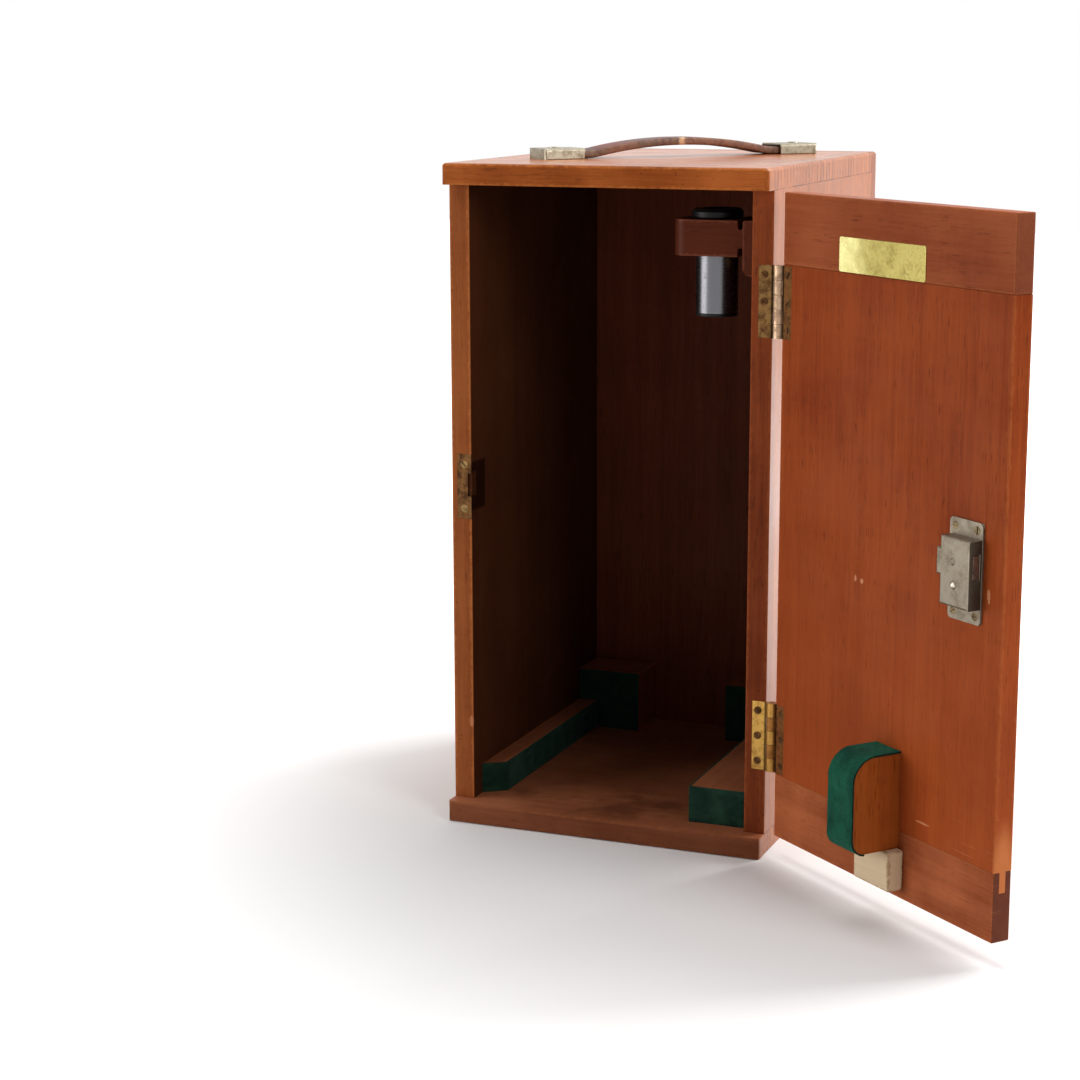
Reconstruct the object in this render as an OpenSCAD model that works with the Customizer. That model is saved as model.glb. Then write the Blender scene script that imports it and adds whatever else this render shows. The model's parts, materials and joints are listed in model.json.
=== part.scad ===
// Upright wooden carrying case with a hinged, locking door, a leather strap
// handle, floor rails faced with baize and a rack that holds a spare eyepiece.
// Sizes are in millimetres. X runs to the right, Y to the back and Z up.
// The origin is the middle of the base board's underside.

/* [Case] */
// Width over the two sides
case_w = 189; // [170:1:250]
// Depth from the front of the sill to the back's outer face
case_d = 220; // [200:1:300]
// Height from the base's underside to the top board's upper face
case_h = 380; // [350:1:480]
// Thickness of the top, base and side boards
wall_t = 12; // [10:0.5:15]
// Thickness of the back panel
back_t = 10; // [6:0.5:14]
// How far the top and the base stand in front of the sides
overhang = 11; // [8:0.5:16]
// Radius of the top's and the base's front corners, seen from above
board_corner_r = 3; // [1:0.5:5]
// Radius along the top's and the base's front edges
board_edge_r = 1.5; // [0.5:0.5:3]
// Fingers in each comb joint, counting both boards
comb_count = 34; // [20:2:46]

/* [Door] */
// Thickness of the door
door_t = 11; // [9:0.5:14]
// Gap above and below the door
door_gap = 0.7; // [0.5:0.1:1.5]
// Gap between the closed door and the front edges of the sides
seat_gap = 0.4; // [0.3:0.1:0.8]
// How far the door stands open
door_open = 141; // [0:1:200]
// Height of the cleat across the top of the door
top_cleat_h = 38; // [25:1:60]
// Height of the cleat across the bottom of the door
bottom_cleat_h = 36; // [25:1:60]
// Thickness of the panel's tongues
tongue_t = 3.7; // [2.5:0.1:5]
// How far the tongues enter the cleats
tongue_l = 11; // [6:0.5:18]
// How far the upper tongue stops short of the door's free edge
tongue_stop = 10; // [5:1:25]

/* [Hinges] */
// Length of each hinge
hinge_l = 39; // [30:1:60]
// Width of a leaf on the wood
leaf_w = 8; // [6:0.5:10]
// Thickness of a leaf
leaf_t = 1.5; // [1:0.1:2.5]
// Outer radius of the knuckles
knuckle_r = 3; // [2.4:0.1:4]
// Radius of the hinge pin
hinge_pin_r = 1.4; // [1:0.1:1.8]
// Knuckles on each hinge, three on the frame leaf and two on the door leaf
knuckle_count = 5; // [3:2:7]
// From the door's top cleat down to the upper hinge
upper_hinge_gap = 0.7; // [0.5:0.1:50]
// From the door's bottom cleat up to the lower hinge
lower_hinge_gap = 0.5; // [0.5:0.1:50]
// Screws on each leaf
leaf_screws = 3; // [2:1:4]

/* [Lock] */
// Height of the lock above the middle of the case
lock_rise = 4; // [-40:1:60]
// Gap between the lock and the side's inner face when the door is shut
lock_clear = 3.5; // [2:0.5:6]
// Width of the lock's case
lock_w = 22.5; // [22:0.5:34]
// Height of the lock's case
lock_h = 34.2; // [32:0.2:48]
// How far the lock stands off the door
lock_d = 9; // [8.5:0.5:14]
// Thickness of the lock's sheet metal
lock_sheet = 0.9; // [0.6:0.1:1.4]
// Height of the lock's screw plate
lock_plate_h = 50.4; // [48:0.2:70]
// Width of the lock's screw plate
lock_plate_w = 25; // [23:0.5:38]
// Height of the bolt
bolt_h = 12; // [8:0.5:14]
// Thickness of the bolt
bolt_t = 4; // [3:0.2:4.6]
// How far the key throws the bolt
bolt_throw = 7.5; // [6:0.5:9]
// Height of the bolt above the lock's middle
bolt_rise = 4; // [2:0.5:5]
// Height of the strike plate
strike_h = 37.6; // [30:0.2:50]
// Width of the strike plate on the front edge of the side
strike_w = 8.8; // [7:0.2:9.6]
// Thickness of the strike plate
strike_t = 1.2; // [0.8:0.1:2]

/* [Handle] */
// Length over the two end caps
handle_l = 178; // [150:1:200]
// Angle between the handle and the front of the case
handle_turn = 47; // [0:1:60]
// How far the handle's middle lies behind the middle of the top
handle_back = 13; // [0:1:20]
// Length of an end cap
cap_l = 25; // [20:0.5:34]
// Width of an end cap
cap_w = 22.6; // [18:0.2:30]
// Height of an end cap
cap_h = 6.2; // [5.8:0.1:9]
// Radius of an end cap's outer corners
cap_corner_r = 1.6; // [0.5:0.1:3]
// Thickness of an end cap's sheet metal
cap_sheet = 0.9; // [0.6:0.1:1.2]
// Width of the strap
strap_w = 18; // [14:0.5:26]
// Thickness of the strap
strap_t = 4.3; // [3:0.1:5]
// How high the strap bows in the middle
strap_rise = 6.4; // [5:0.2:20]
// Radius of the bends where the strap leaves its caps
strap_bend_r = 40; // [20:1:60]
// How far the strap can slide each way in its caps
strap_play = 2; // [1:0.5:4]

/* [Floor fittings] */
// Thickness of the baize
baize_t = 1; // [0.6:0.1:2]
// Width of the left floor rail with its baize
left_rail_w = 12.5; // [10:0.5:30]
// Height of the left floor rail
left_rail_h = 17.5; // [10:0.5:30]
// From the front of the sides to the left floor rail
left_rail_front = 13; // [4:1:40]
// How far the left rail's front end is cut back on its inner side
left_rail_slant = 8; // [0:0.5:15]
// Width of the right floor rail with its baize
right_rail_w = 34.5; // [15:0.5:50]
// Height of the right floor rail
right_rail_h = 21; // [10:0.5:30]
// From the front of the sides to the right floor rail
right_rail_front = 6.5; // [4:0.5:40]
// Width of the left rear block
left_block_w = 40.5; // [20:0.5:55]
// Height of the left rear block
left_block_h = 37.5; // [22:0.5:60]
// Width of the right rear block
right_block_w = 66; // [20:0.5:70]
// Height of the right rear block
right_block_h = 36; // [22:0.5:60]
// Depth of the rear blocks with their baize
block_d = 31; // [20:0.5:45]

/* [Door fittings] */
// From the door's hinge edge to the foot block
foot_u = 92; // [60:1:110]
// Width of the foot block along the door
foot_w = 21.5; // [15:0.5:40]
// Height of the foot block without its baize
foot_h = 50.5; // [35:0.5:80]
// How far the foot block and its baize stand off the door
foot_d = 30; // [20:0.5:40]
// From the bottom of the door to the foot block
foot_rise = 26.7; // [24:0.1:60]
// Radius of the foot block's upper corner
foot_top_r = 13; // [5:0.5:18]
// Radius of the foot block's lower corner
foot_bottom_r = 8; // [3:0.5:12]
// Width of the packing block under the foot block
packing_w = 30; // [20:0.5:50]
// Height of the packing block
packing_h = 21.5; // [10:0.5:23]
// Thickness of the packing block
packing_d = 9.7; // [5:0.1:15]
// Width of the plain name plate
plate_w = 71.5; // [40:0.5:100]
// Height of the plain name plate
plate_h = 17.8; // [10:0.2:22]
// From the door's hinge edge to the name plate
plate_u = 50.7; // [15:0.1:80]

/* [Eyepiece rack] */
// From the front of the sides to the rack
rack_front = 16; // [14:0.5:60]
// Depth of the rack
rack_d = 36; // [32:0.5:50]
// From the top board's underside to the rack's upper face
rack_drop = 17.6; // [17:0.1:40]
// Thickness of the arm
arm_h = 19.7; // [15:0.1:25]
// Length of the arm from the wall plate to its tip
arm_l = 40.6; // [38:0.2:60]
// From the wall plate to the middle of the eyepiece
eye_reach = 20; // [18:0.5:24]
// Thickness of the wall plate
rack_plate_t = 10.5; // [8:0.5:14]
// Height of the wall plate
rack_plate_h = 30; // [27:0.5:45]
// Width of the saw cuts beside the wall plate
kerf_w = 2.8; // [2:0.1:4]
// Depth of the saw cuts beside the wall plate
kerf_h = 5; // [3:0.5:6]

/* [Spare eyepiece] */
// Outer radius of the eyepiece tube
tube_r = 11.6; // [10:0.1:13]
// Wall of the eyepiece tube
tube_wall = 0.8; // [0.5:0.1:1.2]
// Length of the eyepiece below its cap
tube_l = 53.5; // [40:0.5:70]
// Radius of the eyepiece's cap
eye_cap_r = 14.15; // [13.4:0.05:17]
// Height of the eyepiece's cap
eye_cap_h = 5.3; // [4.5:0.1:6]
// Radial gap between the tube and the hole in the arm
tube_gap = 0.4; // [0.3:0.1:0.8]

/* [Hidden] */
$fn = 48;

// Colours of the finishes
mahogany = [0.57, 0.27, 0.14];
end_grain = [0.36, 0.16, 0.10];
pale_wood = [0.87, 0.76, 0.58];
brass = [0.80, 0.65, 0.32];
nickel = [0.68, 0.65, 0.58];
baize_green = [0.05, 0.30, 0.24];
leather = [0.40, 0.20, 0.14];
black = [0.06, 0.06, 0.06];
bright = [0.82, 0.83, 0.84];
glass = [0.75, 0.85, 0.88, 0.5];

// Small clearances and the overshoot of a cut
fit = 0.05;
slack = 0.3;
cut = 0.5;

// Screw sizes: head radius, shank radius and length
small_screw = [2.2, 1.1, 8];
large_screw = [3.2, 1.6, 22];
pin_screw = [1.1, 0.6, 6];

// Places on the carcass
half_w = case_w / 2;
in_x = half_w - wall_t;
front_y = overhang - case_d / 2;
back_y = case_d / 2 - back_t;
sill_y = -case_d / 2;
ceiling_z = case_h - wall_t;
finger_w = (back_y - front_y) / comb_count;

// Places on the shut door
door_low = wall_t + door_gap;
door_high = ceiling_z - door_gap;
door_in_y = front_y - seat_gap;
door_out_y = door_in_y - door_t;
panel_low = door_low + bottom_cleat_h;
panel_high = door_high - top_cleat_h;
hinge_x = half_w + knuckle_r + slack + 0.1;
hinge_y = front_y - seat_gap / 2;
upper_hinge_z = panel_high - upper_hinge_gap - hinge_l;
lower_hinge_z = panel_low + lower_hinge_gap;
hinge_zs = [upper_hinge_z, lower_hinge_z];
leaf_screw_pitch = hinge_l * 0.37;
leaf_screw_x = half_w - leaf_w * 0.6;
knuckle_gap = 0.2;
knuckle_l = (hinge_l - knuckle_gap * (knuckle_count - 1)) / knuckle_count;

// Places in the lock, measured on the shut door
lock_x = lock_clear - in_x;
lock_z = case_h / 2 + lock_rise;
bolt_z = lock_z + bolt_rise;
lock_back = 1.2;
bolt_y = door_in_y + lock_back + (lock_d - lock_sheet - lock_back - bolt_t) / 2;
tail_w = 3;
bolt_l = lock_w + tail_w - 2 * lock_sheet;
key_x = lock_x + lock_w / 2;
key_z = bolt_z - bolt_h / 2 - 4;
keyhole_r = 2.4;
key_slot_w = 2;
key_reach = 6.4;
plate_ear = (lock_plate_h - lock_h) / 4;
strike_mid_z = bolt_z - 1;

// Places on the handle, along its own axis from its middle
cap_inner = handle_l / 2 - cap_l;
cap_screw_s = handle_l / 2 - cap_l * 0.42;
strap_end = handle_l / 2 - cap_sheet - strap_play - slack;
strap_low = slack;
strap_flat = cap_inner - strap_play - slack;
strap_turn = 2 * atan(strap_rise / strap_flat);
strap_bow_r = (pow(strap_flat, 2) + pow(strap_rise, 2)) / (2 * strap_rise) - strap_bend_r;

// Places on the rack and the eyepiece
rack_y = front_y + rack_front;
rack_z = ceiling_z - rack_drop;
arm_low = rack_z - arm_h;
rack_plate_x = in_x - rack_plate_t;
arm_x = rack_plate_x - arm_l;
eye_x = rack_plate_x - eye_reach;
eye_y = rack_y + rack_d / 2;
arm_tip_r = 8;
tenon_l = 5;
spigot_l = 4;
ring_h = 1.8;
eye_lens_r = 6;
bore_r = tube_r - tube_wall;
field_lens_r = bore_r - 1.6;

foot_z = door_low + foot_rise;
foot_x = half_w - foot_u - foot_w;
packing_x = foot_x - (packing_w - foot_w) / 2;

// Shared shapes

module screw(size, extra = 0) {
  head_h = size[0] - size[1];
  translate([0, 0, -head_h]) cylinder(r1 = size[1] + extra, r2 = size[0] + extra, h = head_h);
  translate([0, 0, -size[2] - extra]) cylinder(r = size[1] + extra, h = size[2] - head_h / 2 + extra);
  if (extra > 0) cylinder(r = size[0] + extra, h = cut);
}

// Turns what is drawn with its head up so that the head faces the front, or the back
module facing_front() rotate([90, 0, 0]) children();
module facing_back() rotate([-90, 0, 0]) children();

module on_open_door() {
  translate([hinge_x, hinge_y, 0]) rotate([0, 0, door_open]) translate([-hinge_x, -hinge_y, 0]) children();
}

module on_handle() {
  translate([0, handle_back, case_h]) rotate([0, 0, handle_turn]) children();
}

module box(low, high) translate(low) cube(high - low);

// A rectangle with two rounded corners at its far side
module nosed(w, h, low_r, high_r) {
  big_r = max(low_r, high_r);
  square([w - big_r, h]);
  translate([0, low_r]) square([w, h - low_r - high_r]);
  square([w - low_r, h - high_r]);
  translate([0, low_r]) square([w - high_r, h - low_r]);
  translate([w - low_r, low_r]) circle(low_r);
  translate([w - high_r, h - high_r]) circle(high_r);
}

// A rectangle with its upper far corner rounded
module nosed_top(w, h, r) {
  square([w, h - r]);
  square([w - r, h]);
  translate([w - r, h - r]) circle(r);
}

// Carcass

// Every second cell of a comb joint, to cut from a board that spans x0 to x1 and z0 to z1 there
module comb_cut(first, x0, x1, z0, z1) {
  for (i = [first : 2 : comb_count - 1]) {
    y0 = front_y + i * finger_w - (i == 0 ? cut : 0);
    y1 = front_y + (i + 1) * finger_w + (i == comb_count - 1 ? cut : 0);
    box([x0, y0, z0], [x1, y1, z1]);
  }
}

// A board with a rounded front, lying flat with its underside at z
module flat_board(z) {
  length = back_y - sill_y;
  difference() {
    intersection() {
      translate([0, back_y, z]) rotate([0, 0, -90])
        linear_extrude(wall_t) translate([0, -half_w]) nosed(length, case_w, board_corner_r, board_corner_r);
      translate([-half_w, back_y, z]) rotate([90, 0, -90]) mirror([0, 0, 1])
        linear_extrude(case_w) nosed(length, wall_t, board_edge_r, board_edge_r);
    }
    comb_cut(1, -half_w - cut, -in_x, z - cut, z + wall_t + cut);
    comb_cut(1, in_x, half_w + cut, z - cut, z + wall_t + cut);
  }
}

module top_board() {
  color(mahogany) difference() {
    flat_board(ceiling_z);
    on_handle() for (s = [-cap_screw_s, cap_screw_s])
      translate([s, 0, -9]) cylinder(r = 1.8 + fit, h = 9 + cut);
  }
}

module base_board() color(mahogany) flat_board(0);

module side_board(x) {
  difference() {
    box([x, front_y, 0], [x + wall_t, back_y, case_h]);
    comb_cut(0, x - cut, x + wall_t + cut, -cut, wall_t);
    comb_cut(0, x - cut, x + wall_t + cut, ceiling_z, case_h + cut);
  }
}

module left_side() {
  color(mahogany) difference() {
    side_board(-half_w);
    strike_shape(front_y - cut, front_y + strike_t, fit);
    translate([-in_x - 6.5, bolt_y - 1, bolt_z - bolt_h / 2 - 1.4])
      cube([6.5 + cut, bolt_t + 2, bolt_h + 2.8]);
    strike_screw_places() screw(small_screw, fit);
  }
}

module right_side() {
  color(mahogany) difference() {
    side_board(in_x);
    for (z = hinge_zs) leaf_recess(z);
    frame_screw_places() screw(small_screw, fit);
    rack_screw_places() screw([3.2, 1.6, 18], fit);
  }
}

module back_panel() {
  color(mahogany) difference() {
    box([-half_w, back_y, 0], [half_w, case_d / 2, case_h]);
    back_screw_places() screw(large_screw, fit);
  }
}

module back_screw_places() {
  for (x = [-1, 1], i = [0 : 3])
    translate([x * (half_w - wall_t / 2), case_d / 2, case_h * (0.1 + i * 0.8 / 3)]) facing_back() children();
}

module back_screws() color(brass) back_screw_places() screw([3.2, 1.6, back_t - 0.6]);

// Strap handle

// A folded cap, open towards the middle of the handle
module handle_cap() {
  r = cap_corner_r;
  color(nickel) on_handle() difference() {
    intersection() {
      translate([cap_inner, -cap_w / 2, 0]) linear_extrude(cap_h) nosed(cap_l, cap_w, r, r);
      translate([cap_inner, 0, 0]) rotate([90, 0, 90]) linear_extrude(cap_l)
        for (side = [0, 1]) mirror([side, 0]) nosed_top(cap_w / 2, cap_h, r);
    }
    translate([cap_inner - cut, cap_sheet - cap_w / 2, -cut])
      cube([cap_l - cap_sheet + cut, cap_w - 2 * cap_sheet, cap_h - cap_sheet + cut]);
    translate([cap_screw_s, 0, 0]) cylinder(r = 1.8 + fit, h = cap_h + cut);
  }
}

module handle_cap_right() handle_cap();

module handle_cap_left() {
  translate([0, handle_back, 0]) rotate([0, 0, 180]) translate([0, -handle_back, 0]) handle_cap();
}

module handle_screws() {
  color(nickel) on_handle() for (s = [-cap_screw_s, cap_screw_s]) translate([s, 0, 0]) {
    translate([0, 0, -8.5]) cylinder(r = 1.8, h = 8.5 + cap_h);
    translate([0, 0, cap_h]) cylinder(r = 3, h = 0.6);
  }
}

function arc(centre, r, from, to, steps) =
  [for (i = [0 : steps]) let (a = from + (to - from) * i / steps) centre + r * [cos(a), sin(a)]];
function flipped(points) = [for (i = [len(points) - 1 : -1 : 0]) points[i]];
function mirrored(points) = [for (p = points) [-p[0], p[1]]];

// One side of the strap from its middle to its end: a bow, a bend and a flat end, raised by t
function strap_line(t) = concat(
  arc([0, strap_low + strap_rise - strap_bow_r], strap_bow_r + t, 90, 90 - strap_turn, 14),
  arc([strap_flat, strap_low + strap_bend_r], strap_bend_r - t, -90 - strap_turn + 2, -90, 4),
  [[strap_end, strap_low + t]]
);

module strap_outline() {
  low = strap_line(0);
  high = strap_line(strap_t);
  polygon(concat(low, flipped(high), mirrored(high), flipped(mirrored(low))));
}

module handle_strap() {
  reach = strap_play + 0.2;
  slot_r = 2.1;
  color(leather) on_handle() difference() {
    translate([0, strap_w / 2, 0]) rotate([90, 0, 0]) linear_extrude(strap_w) strap_outline();
    for (s = [-cap_screw_s, cap_screw_s]) translate([s, 0, 0]) linear_extrude(cap_h) {
      square([2 * reach, 2 * slot_r], center = true);
      for (end = [-reach, reach]) translate([end, 0]) circle(slot_r);
    }
  }
}

// Door

module tongue(z, stop) {
  box([stop - half_w, door_in_y - door_t / 2 - tongue_t / 2, z], [half_w, door_in_y - door_t / 2 + tongue_t / 2, z + tongue_l]);
}

module door_slab(z0, z1) box([-half_w, door_out_y, z0], [half_w, door_in_y, z1]);

module door_panel() {
  color(mahogany) on_open_door() difference() {
    union() {
      door_slab(panel_low, panel_high);
      tongue(panel_high, tongue_stop);
      tongue(panel_low - tongue_l, 0);
    }
    for (z = hinge_zs)
      box([half_w - leaf_w - fit, door_in_y - leaf_t, z - fit], [half_w + cut, door_in_y + cut, z + hinge_l + fit]);
    door_screw_places() screw(small_screw, fit);
    lock_screw_places() screw(small_screw, fit);
    keyhole(door_out_y - cut, door_in_y + cut);
    keyhole_pin_places() screw(pin_screw, fit);
  }
}

module door_top_cleat() {
  color(end_grain) on_open_door() difference() {
    door_slab(panel_high, door_high);
    tongue(panel_high, tongue_stop);
  }
}

module door_bottom_cleat() {
  color(end_grain) on_open_door() difference() {
    door_slab(door_low, panel_low);
    tongue(panel_low - tongue_l, 0);
  }
}

module name_plate() {
  plate_t = 0.4;
  corner = 1.2;
  color(brass) on_open_door()
    translate([half_w - plate_u - plate_w, door_in_y, panel_high + 0.4]) rotate([90, 0, 0]) mirror([0, 0, 1])
      linear_extrude(plate_t) {
        translate([corner, 0]) square([plate_w - 2 * corner, plate_h]);
        translate([0, corner]) square([plate_w, plate_h - 2 * corner]);
        for (x = [corner, plate_w - corner], z = [corner, plate_h - corner]) translate([x, z]) circle(corner);
      }
}

// Draws a side outline of the door's fittings, x off the door and y up
module off_door(x, z, width) {
  translate([x, door_in_y, z]) rotate([90, 0, 90]) linear_extrude(width) children();
}

module foot_block() {
  color(mahogany) on_open_door() off_door(foot_x, foot_z, foot_w)
    nosed(foot_d - baize_t, foot_h, foot_bottom_r, foot_top_r);
}

module foot_block_baize() {
  lap = foot_bottom_r / 2;
  color(baize_green) on_open_door() off_door(foot_x, foot_z, foot_w) difference() {
    translate([0, -baize_t]) nosed(foot_d, foot_h + 2 * baize_t, foot_bottom_r + baize_t, foot_top_r + baize_t);
    nosed(foot_d - baize_t, foot_h, foot_bottom_r, foot_top_r);
    translate([-cut, -baize_t - cut]) square([foot_d - foot_bottom_r, baize_t + cut + lap]);
  }
}

module packing_block() {
  color(pale_wood) on_open_door()
    box([packing_x, door_in_y, foot_z - packing_h], [packing_x + packing_w, door_in_y + packing_d, foot_z]);
}

// The keyhole: a round eye over a narrow slot, cut along Y
module keyhole(y0, y1) {
  translate([key_x, y1, key_z]) rotate([90, 0, 0]) cylinder(r = keyhole_r, h = y1 - y0);
  box([key_x - key_slot_w / 2, y0, key_z - key_reach], [key_x + key_slot_w / 2, y1, key_z]);
}

module keyhole_pin_places() {
  for (dz = [-11, 9]) translate([key_x, door_out_y - 0.8, key_z + dz]) facing_front() children();
}

module keyhole_plate() {
  mid_z = key_z - 1;
  color(brass) on_open_door() difference() {
    translate([key_x, door_out_y, mid_z]) rotate([90, 0, 0]) linear_extrude(0.8) {
      translate([-7, -6]) square([14, 12]);
      for (dz = [-6, 6]) translate([0, dz]) circle(7);
    }
    keyhole(door_out_y - 1 - cut, door_out_y + cut);
    keyhole_pin_places() screw(pin_screw, fit);
  }
}

module keyhole_pins() color(brass) on_open_door() keyhole_pin_places() screw(pin_screw);

// Butt hinges

module leaf_recess(z) {
  box([half_w - leaf_w - fit, front_y - cut, z - fit], [half_w + cut, front_y + leaf_t, z + hinge_l + fit]);
}

// Knuckles first, first + 2 and so on, with their bore
module knuckles(z, first, plate_y) {
  for (i = [first : 2 : knuckle_count - 1]) translate([0, 0, z + i * (knuckle_l + knuckle_gap)]) difference() {
    union() {
      translate([hinge_x, hinge_y, 0]) cylinder(r = knuckle_r, h = knuckle_l);
      translate([half_w - cut, plate_y, 0]) cube([hinge_x - half_w + cut, leaf_t, knuckle_l]);
    }
    translate([hinge_x, hinge_y, -cut]) cylinder(r = hinge_pin_r + fit, h = knuckle_l + 2 * cut);
  }
}

module leaf_screw_places(z, y) {
  for (i = [0 : leaf_screws - 1])
    translate([leaf_screw_x, y, z + hinge_l / 2 + (i - (leaf_screws - 1) / 2) * leaf_screw_pitch]) children();
}

module frame_screw_places() for (z = hinge_zs) leaf_screw_places(z, front_y) facing_front() children();
module door_screw_places() for (z = hinge_zs) leaf_screw_places(z, door_in_y) facing_back() children();

module frame_leaf(z) {
  color(brass) difference() {
    union() {
      box([half_w - leaf_w, front_y, z], [half_w, front_y + leaf_t, z + hinge_l]);
      knuckles(z, 0, front_y);
    }
    leaf_screw_places(z, front_y) facing_front() screw(small_screw, fit);
  }
}

module door_leaf(z) {
  color(brass) on_open_door() difference() {
    union() {
      box([half_w - leaf_w, door_in_y - leaf_t, z], [half_w, door_in_y, z + hinge_l]);
      knuckles(z, 1, door_in_y - leaf_t);
    }
    leaf_screw_places(z, door_in_y) facing_back() screw(small_screw, fit);
  }
}

module hinge_pin(z) color(brass) translate([hinge_x, hinge_y, z]) cylinder(r = hinge_pin_r, h = hinge_l);

module upper_frame_leaf() frame_leaf(upper_hinge_z);
module lower_frame_leaf() frame_leaf(lower_hinge_z);
module upper_door_leaf() door_leaf(upper_hinge_z);
module lower_door_leaf() door_leaf(lower_hinge_z);
module upper_hinge_pin() hinge_pin(upper_hinge_z);
module lower_hinge_pin() hinge_pin(lower_hinge_z);
module frame_leaf_screws() color(brass) frame_screw_places() screw(small_screw);
module door_leaf_screws() color(brass) on_open_door() door_screw_places() screw(small_screw);

// Lock

module lock_screw_places() {
  for (x = [4.2, lock_plate_w - 4.2], z = [-1, 1])
    translate([lock_x + x, door_in_y + lock_back, lock_z + z * (lock_plate_h / 2 - plate_ear)])
      facing_back() children();
}

module lock_plate() {
  corner = 2.5;
  color(nickel) on_open_door() difference() {
    translate([lock_x, door_in_y, lock_z - lock_plate_h / 2]) rotate([90, 0, 0]) mirror([0, 0, 1])
      linear_extrude(lock_back) {
        translate([corner, 0]) square([lock_plate_w - 2 * corner, lock_plate_h]);
        translate([0, corner]) square([lock_plate_w, lock_plate_h - 2 * corner]);
        for (x = [corner, lock_plate_w - corner], z = [corner, lock_plate_h - corner])
          translate([x, z]) circle(corner);
      }
    lock_screw_places() screw(small_screw, fit);
    keyhole(door_in_y - cut, door_in_y + lock_back + cut);
  }
}

module lock_case() {
  low_y = door_in_y + lock_back;
  high_y = door_in_y + lock_d;
  tail_h = bolt_h + 1.6;
  color(nickel) on_open_door() difference() {
    union() {
      box([lock_x, low_y, lock_z - lock_h / 2], [lock_x + lock_w, high_y, lock_z + lock_h / 2]);
      box([lock_x, low_y + 1.2, bolt_z - tail_h / 2], [lock_x + lock_w + tail_w, high_y, bolt_z + tail_h / 2]);
    }
    box([lock_x + lock_sheet, low_y - cut, lock_z - lock_h / 2 + lock_sheet],
        [lock_x + lock_w - lock_sheet, high_y - lock_sheet, lock_z + lock_h / 2 - lock_sheet]);
    bolt_way(lock_x - cut, lock_x + lock_w + tail_w - lock_sheet);
    lock_pin_places() cylinder(r = lock_pin_r + fit, h = 20, center = true);
  }
}

// The channel that the bolt slides in
module bolt_way(x0, x1) {
  gap = 0.2;
  box([x0, bolt_y - gap, bolt_z - bolt_h / 2 - gap], [x1, bolt_y + bolt_t + gap, bolt_z + bolt_h / 2 + gap]);
}

// A flat bolt with a notch that the key pushes against and a slot round the guide pin
module lock_bolt() {
  slot_r = lock_pin_r + slack;
  color(brass) on_open_door() difference() {
    box([lock_x, bolt_y, bolt_z - bolt_h / 2], [lock_x + bolt_l, bolt_y + bolt_t, bolt_z + bolt_h / 2]);
    box([key_x - 2.5, bolt_y - cut, bolt_z - bolt_h / 2 - cut], [key_x + 3.5, bolt_y + bolt_t + cut, bolt_z - bolt_h / 2 + 2.2]);
    box([guide_x - slot_r, bolt_y - cut, guide_z - slot_r], [lock_x + bolt_l + cut, bolt_y + bolt_t + cut, guide_z + slot_r]);
  }
}

lock_pin_r = 1.2;
guide_x = lock_x + lock_w * 0.55;
guide_z = bolt_z + 1.5;

module lock_pin_places() {
  for (place = [[key_x, key_z], [guide_x, guide_z]])
    translate([place[0], door_in_y + lock_d, place[1]]) rotate([90, 0, 0]) children();
}

// The key's drill pin and the bolt's guide pin, riveted over outside the case
module lock_pins() {
  color(nickel) on_open_door() lock_pin_places() {
    cylinder(r = lock_pin_r, h = lock_d - lock_back);
    translate([0, 0, -0.6]) cylinder(r1 = lock_pin_r, r2 = 2, h = 0.6);
  }
}

// A bent leaf that bears on the bolt's upper edge
module lock_spring() {
  leaf = 0.5;
  z = bolt_z + bolt_h / 2 + slack;
  x0 = lock_x + lock_sheet;
  top_z = lock_z + lock_h / 2 - lock_sheet;
  color(bright) on_open_door() {
    box([x0 + 3, bolt_y + 0.5, z], [x0 + 14, bolt_y + bolt_t - 0.5, z + leaf]);
    box([x0 + 14 - leaf, bolt_y + 0.5, z], [x0 + 14, bolt_y + bolt_t - 0.5, top_z]);
    box([x0 + 3, bolt_y + 0.5, top_z - leaf], [x0 + 14, bolt_y + bolt_t - 0.5, top_z]);
  }
}

// A part ring standing on the screw plate, which only the right key passes
module lock_ward() {
  color(brass) on_open_door() difference() {
    translate([key_x, door_in_y + lock_back, key_z]) facing_back() difference() {
      cylinder(r = 4.6, h = 1.2);
      translate([0, 0, -cut]) cylinder(r = 3.8, h = 1.2 + 2 * cut);
    }
    box([key_x - 1.6, door_in_y, key_z - key_reach], [key_x + 1.6, door_in_y + lock_d, key_z + key_reach]);
  }
}

module lock_screws() color(brass) on_open_door() lock_screw_places() screw(small_screw);

// The plate let into the side's front edge, from its middle to its inner corner
module strike_shape(y0, y1, side_gap) {
  z0 = strike_mid_z - strike_h / 2 - side_gap;
  z1 = strike_mid_z + strike_h / 2 + side_gap;
  box([-in_x - strike_w - side_gap, y0, z0], [-in_x + (side_gap > 0 ? cut : 0), y1, z1]);
}

module strike_screw_places() {
  for (dz = [-1, 1])
    translate([-in_x - strike_w / 2, front_y, strike_mid_z + dz * (strike_h / 2 - 6)]) facing_front() children();
}

module strike_plate() {
  gap = 0.6;
  color(brass) difference() {
    strike_shape(front_y, front_y + strike_t, 0);
    box([-in_x - 2.2, front_y - cut, bolt_z - bolt_h / 2 - gap], [-in_x + cut, bolt_y + bolt_t + gap, bolt_z + bolt_h / 2 + gap]);
    strike_screw_places() screw(small_screw, fit);
  }
}

module strike_screws() color(brass) strike_screw_places() screw(small_screw);

// Floor rails and rear blocks

rail_back_y = back_y - block_d;

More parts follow.
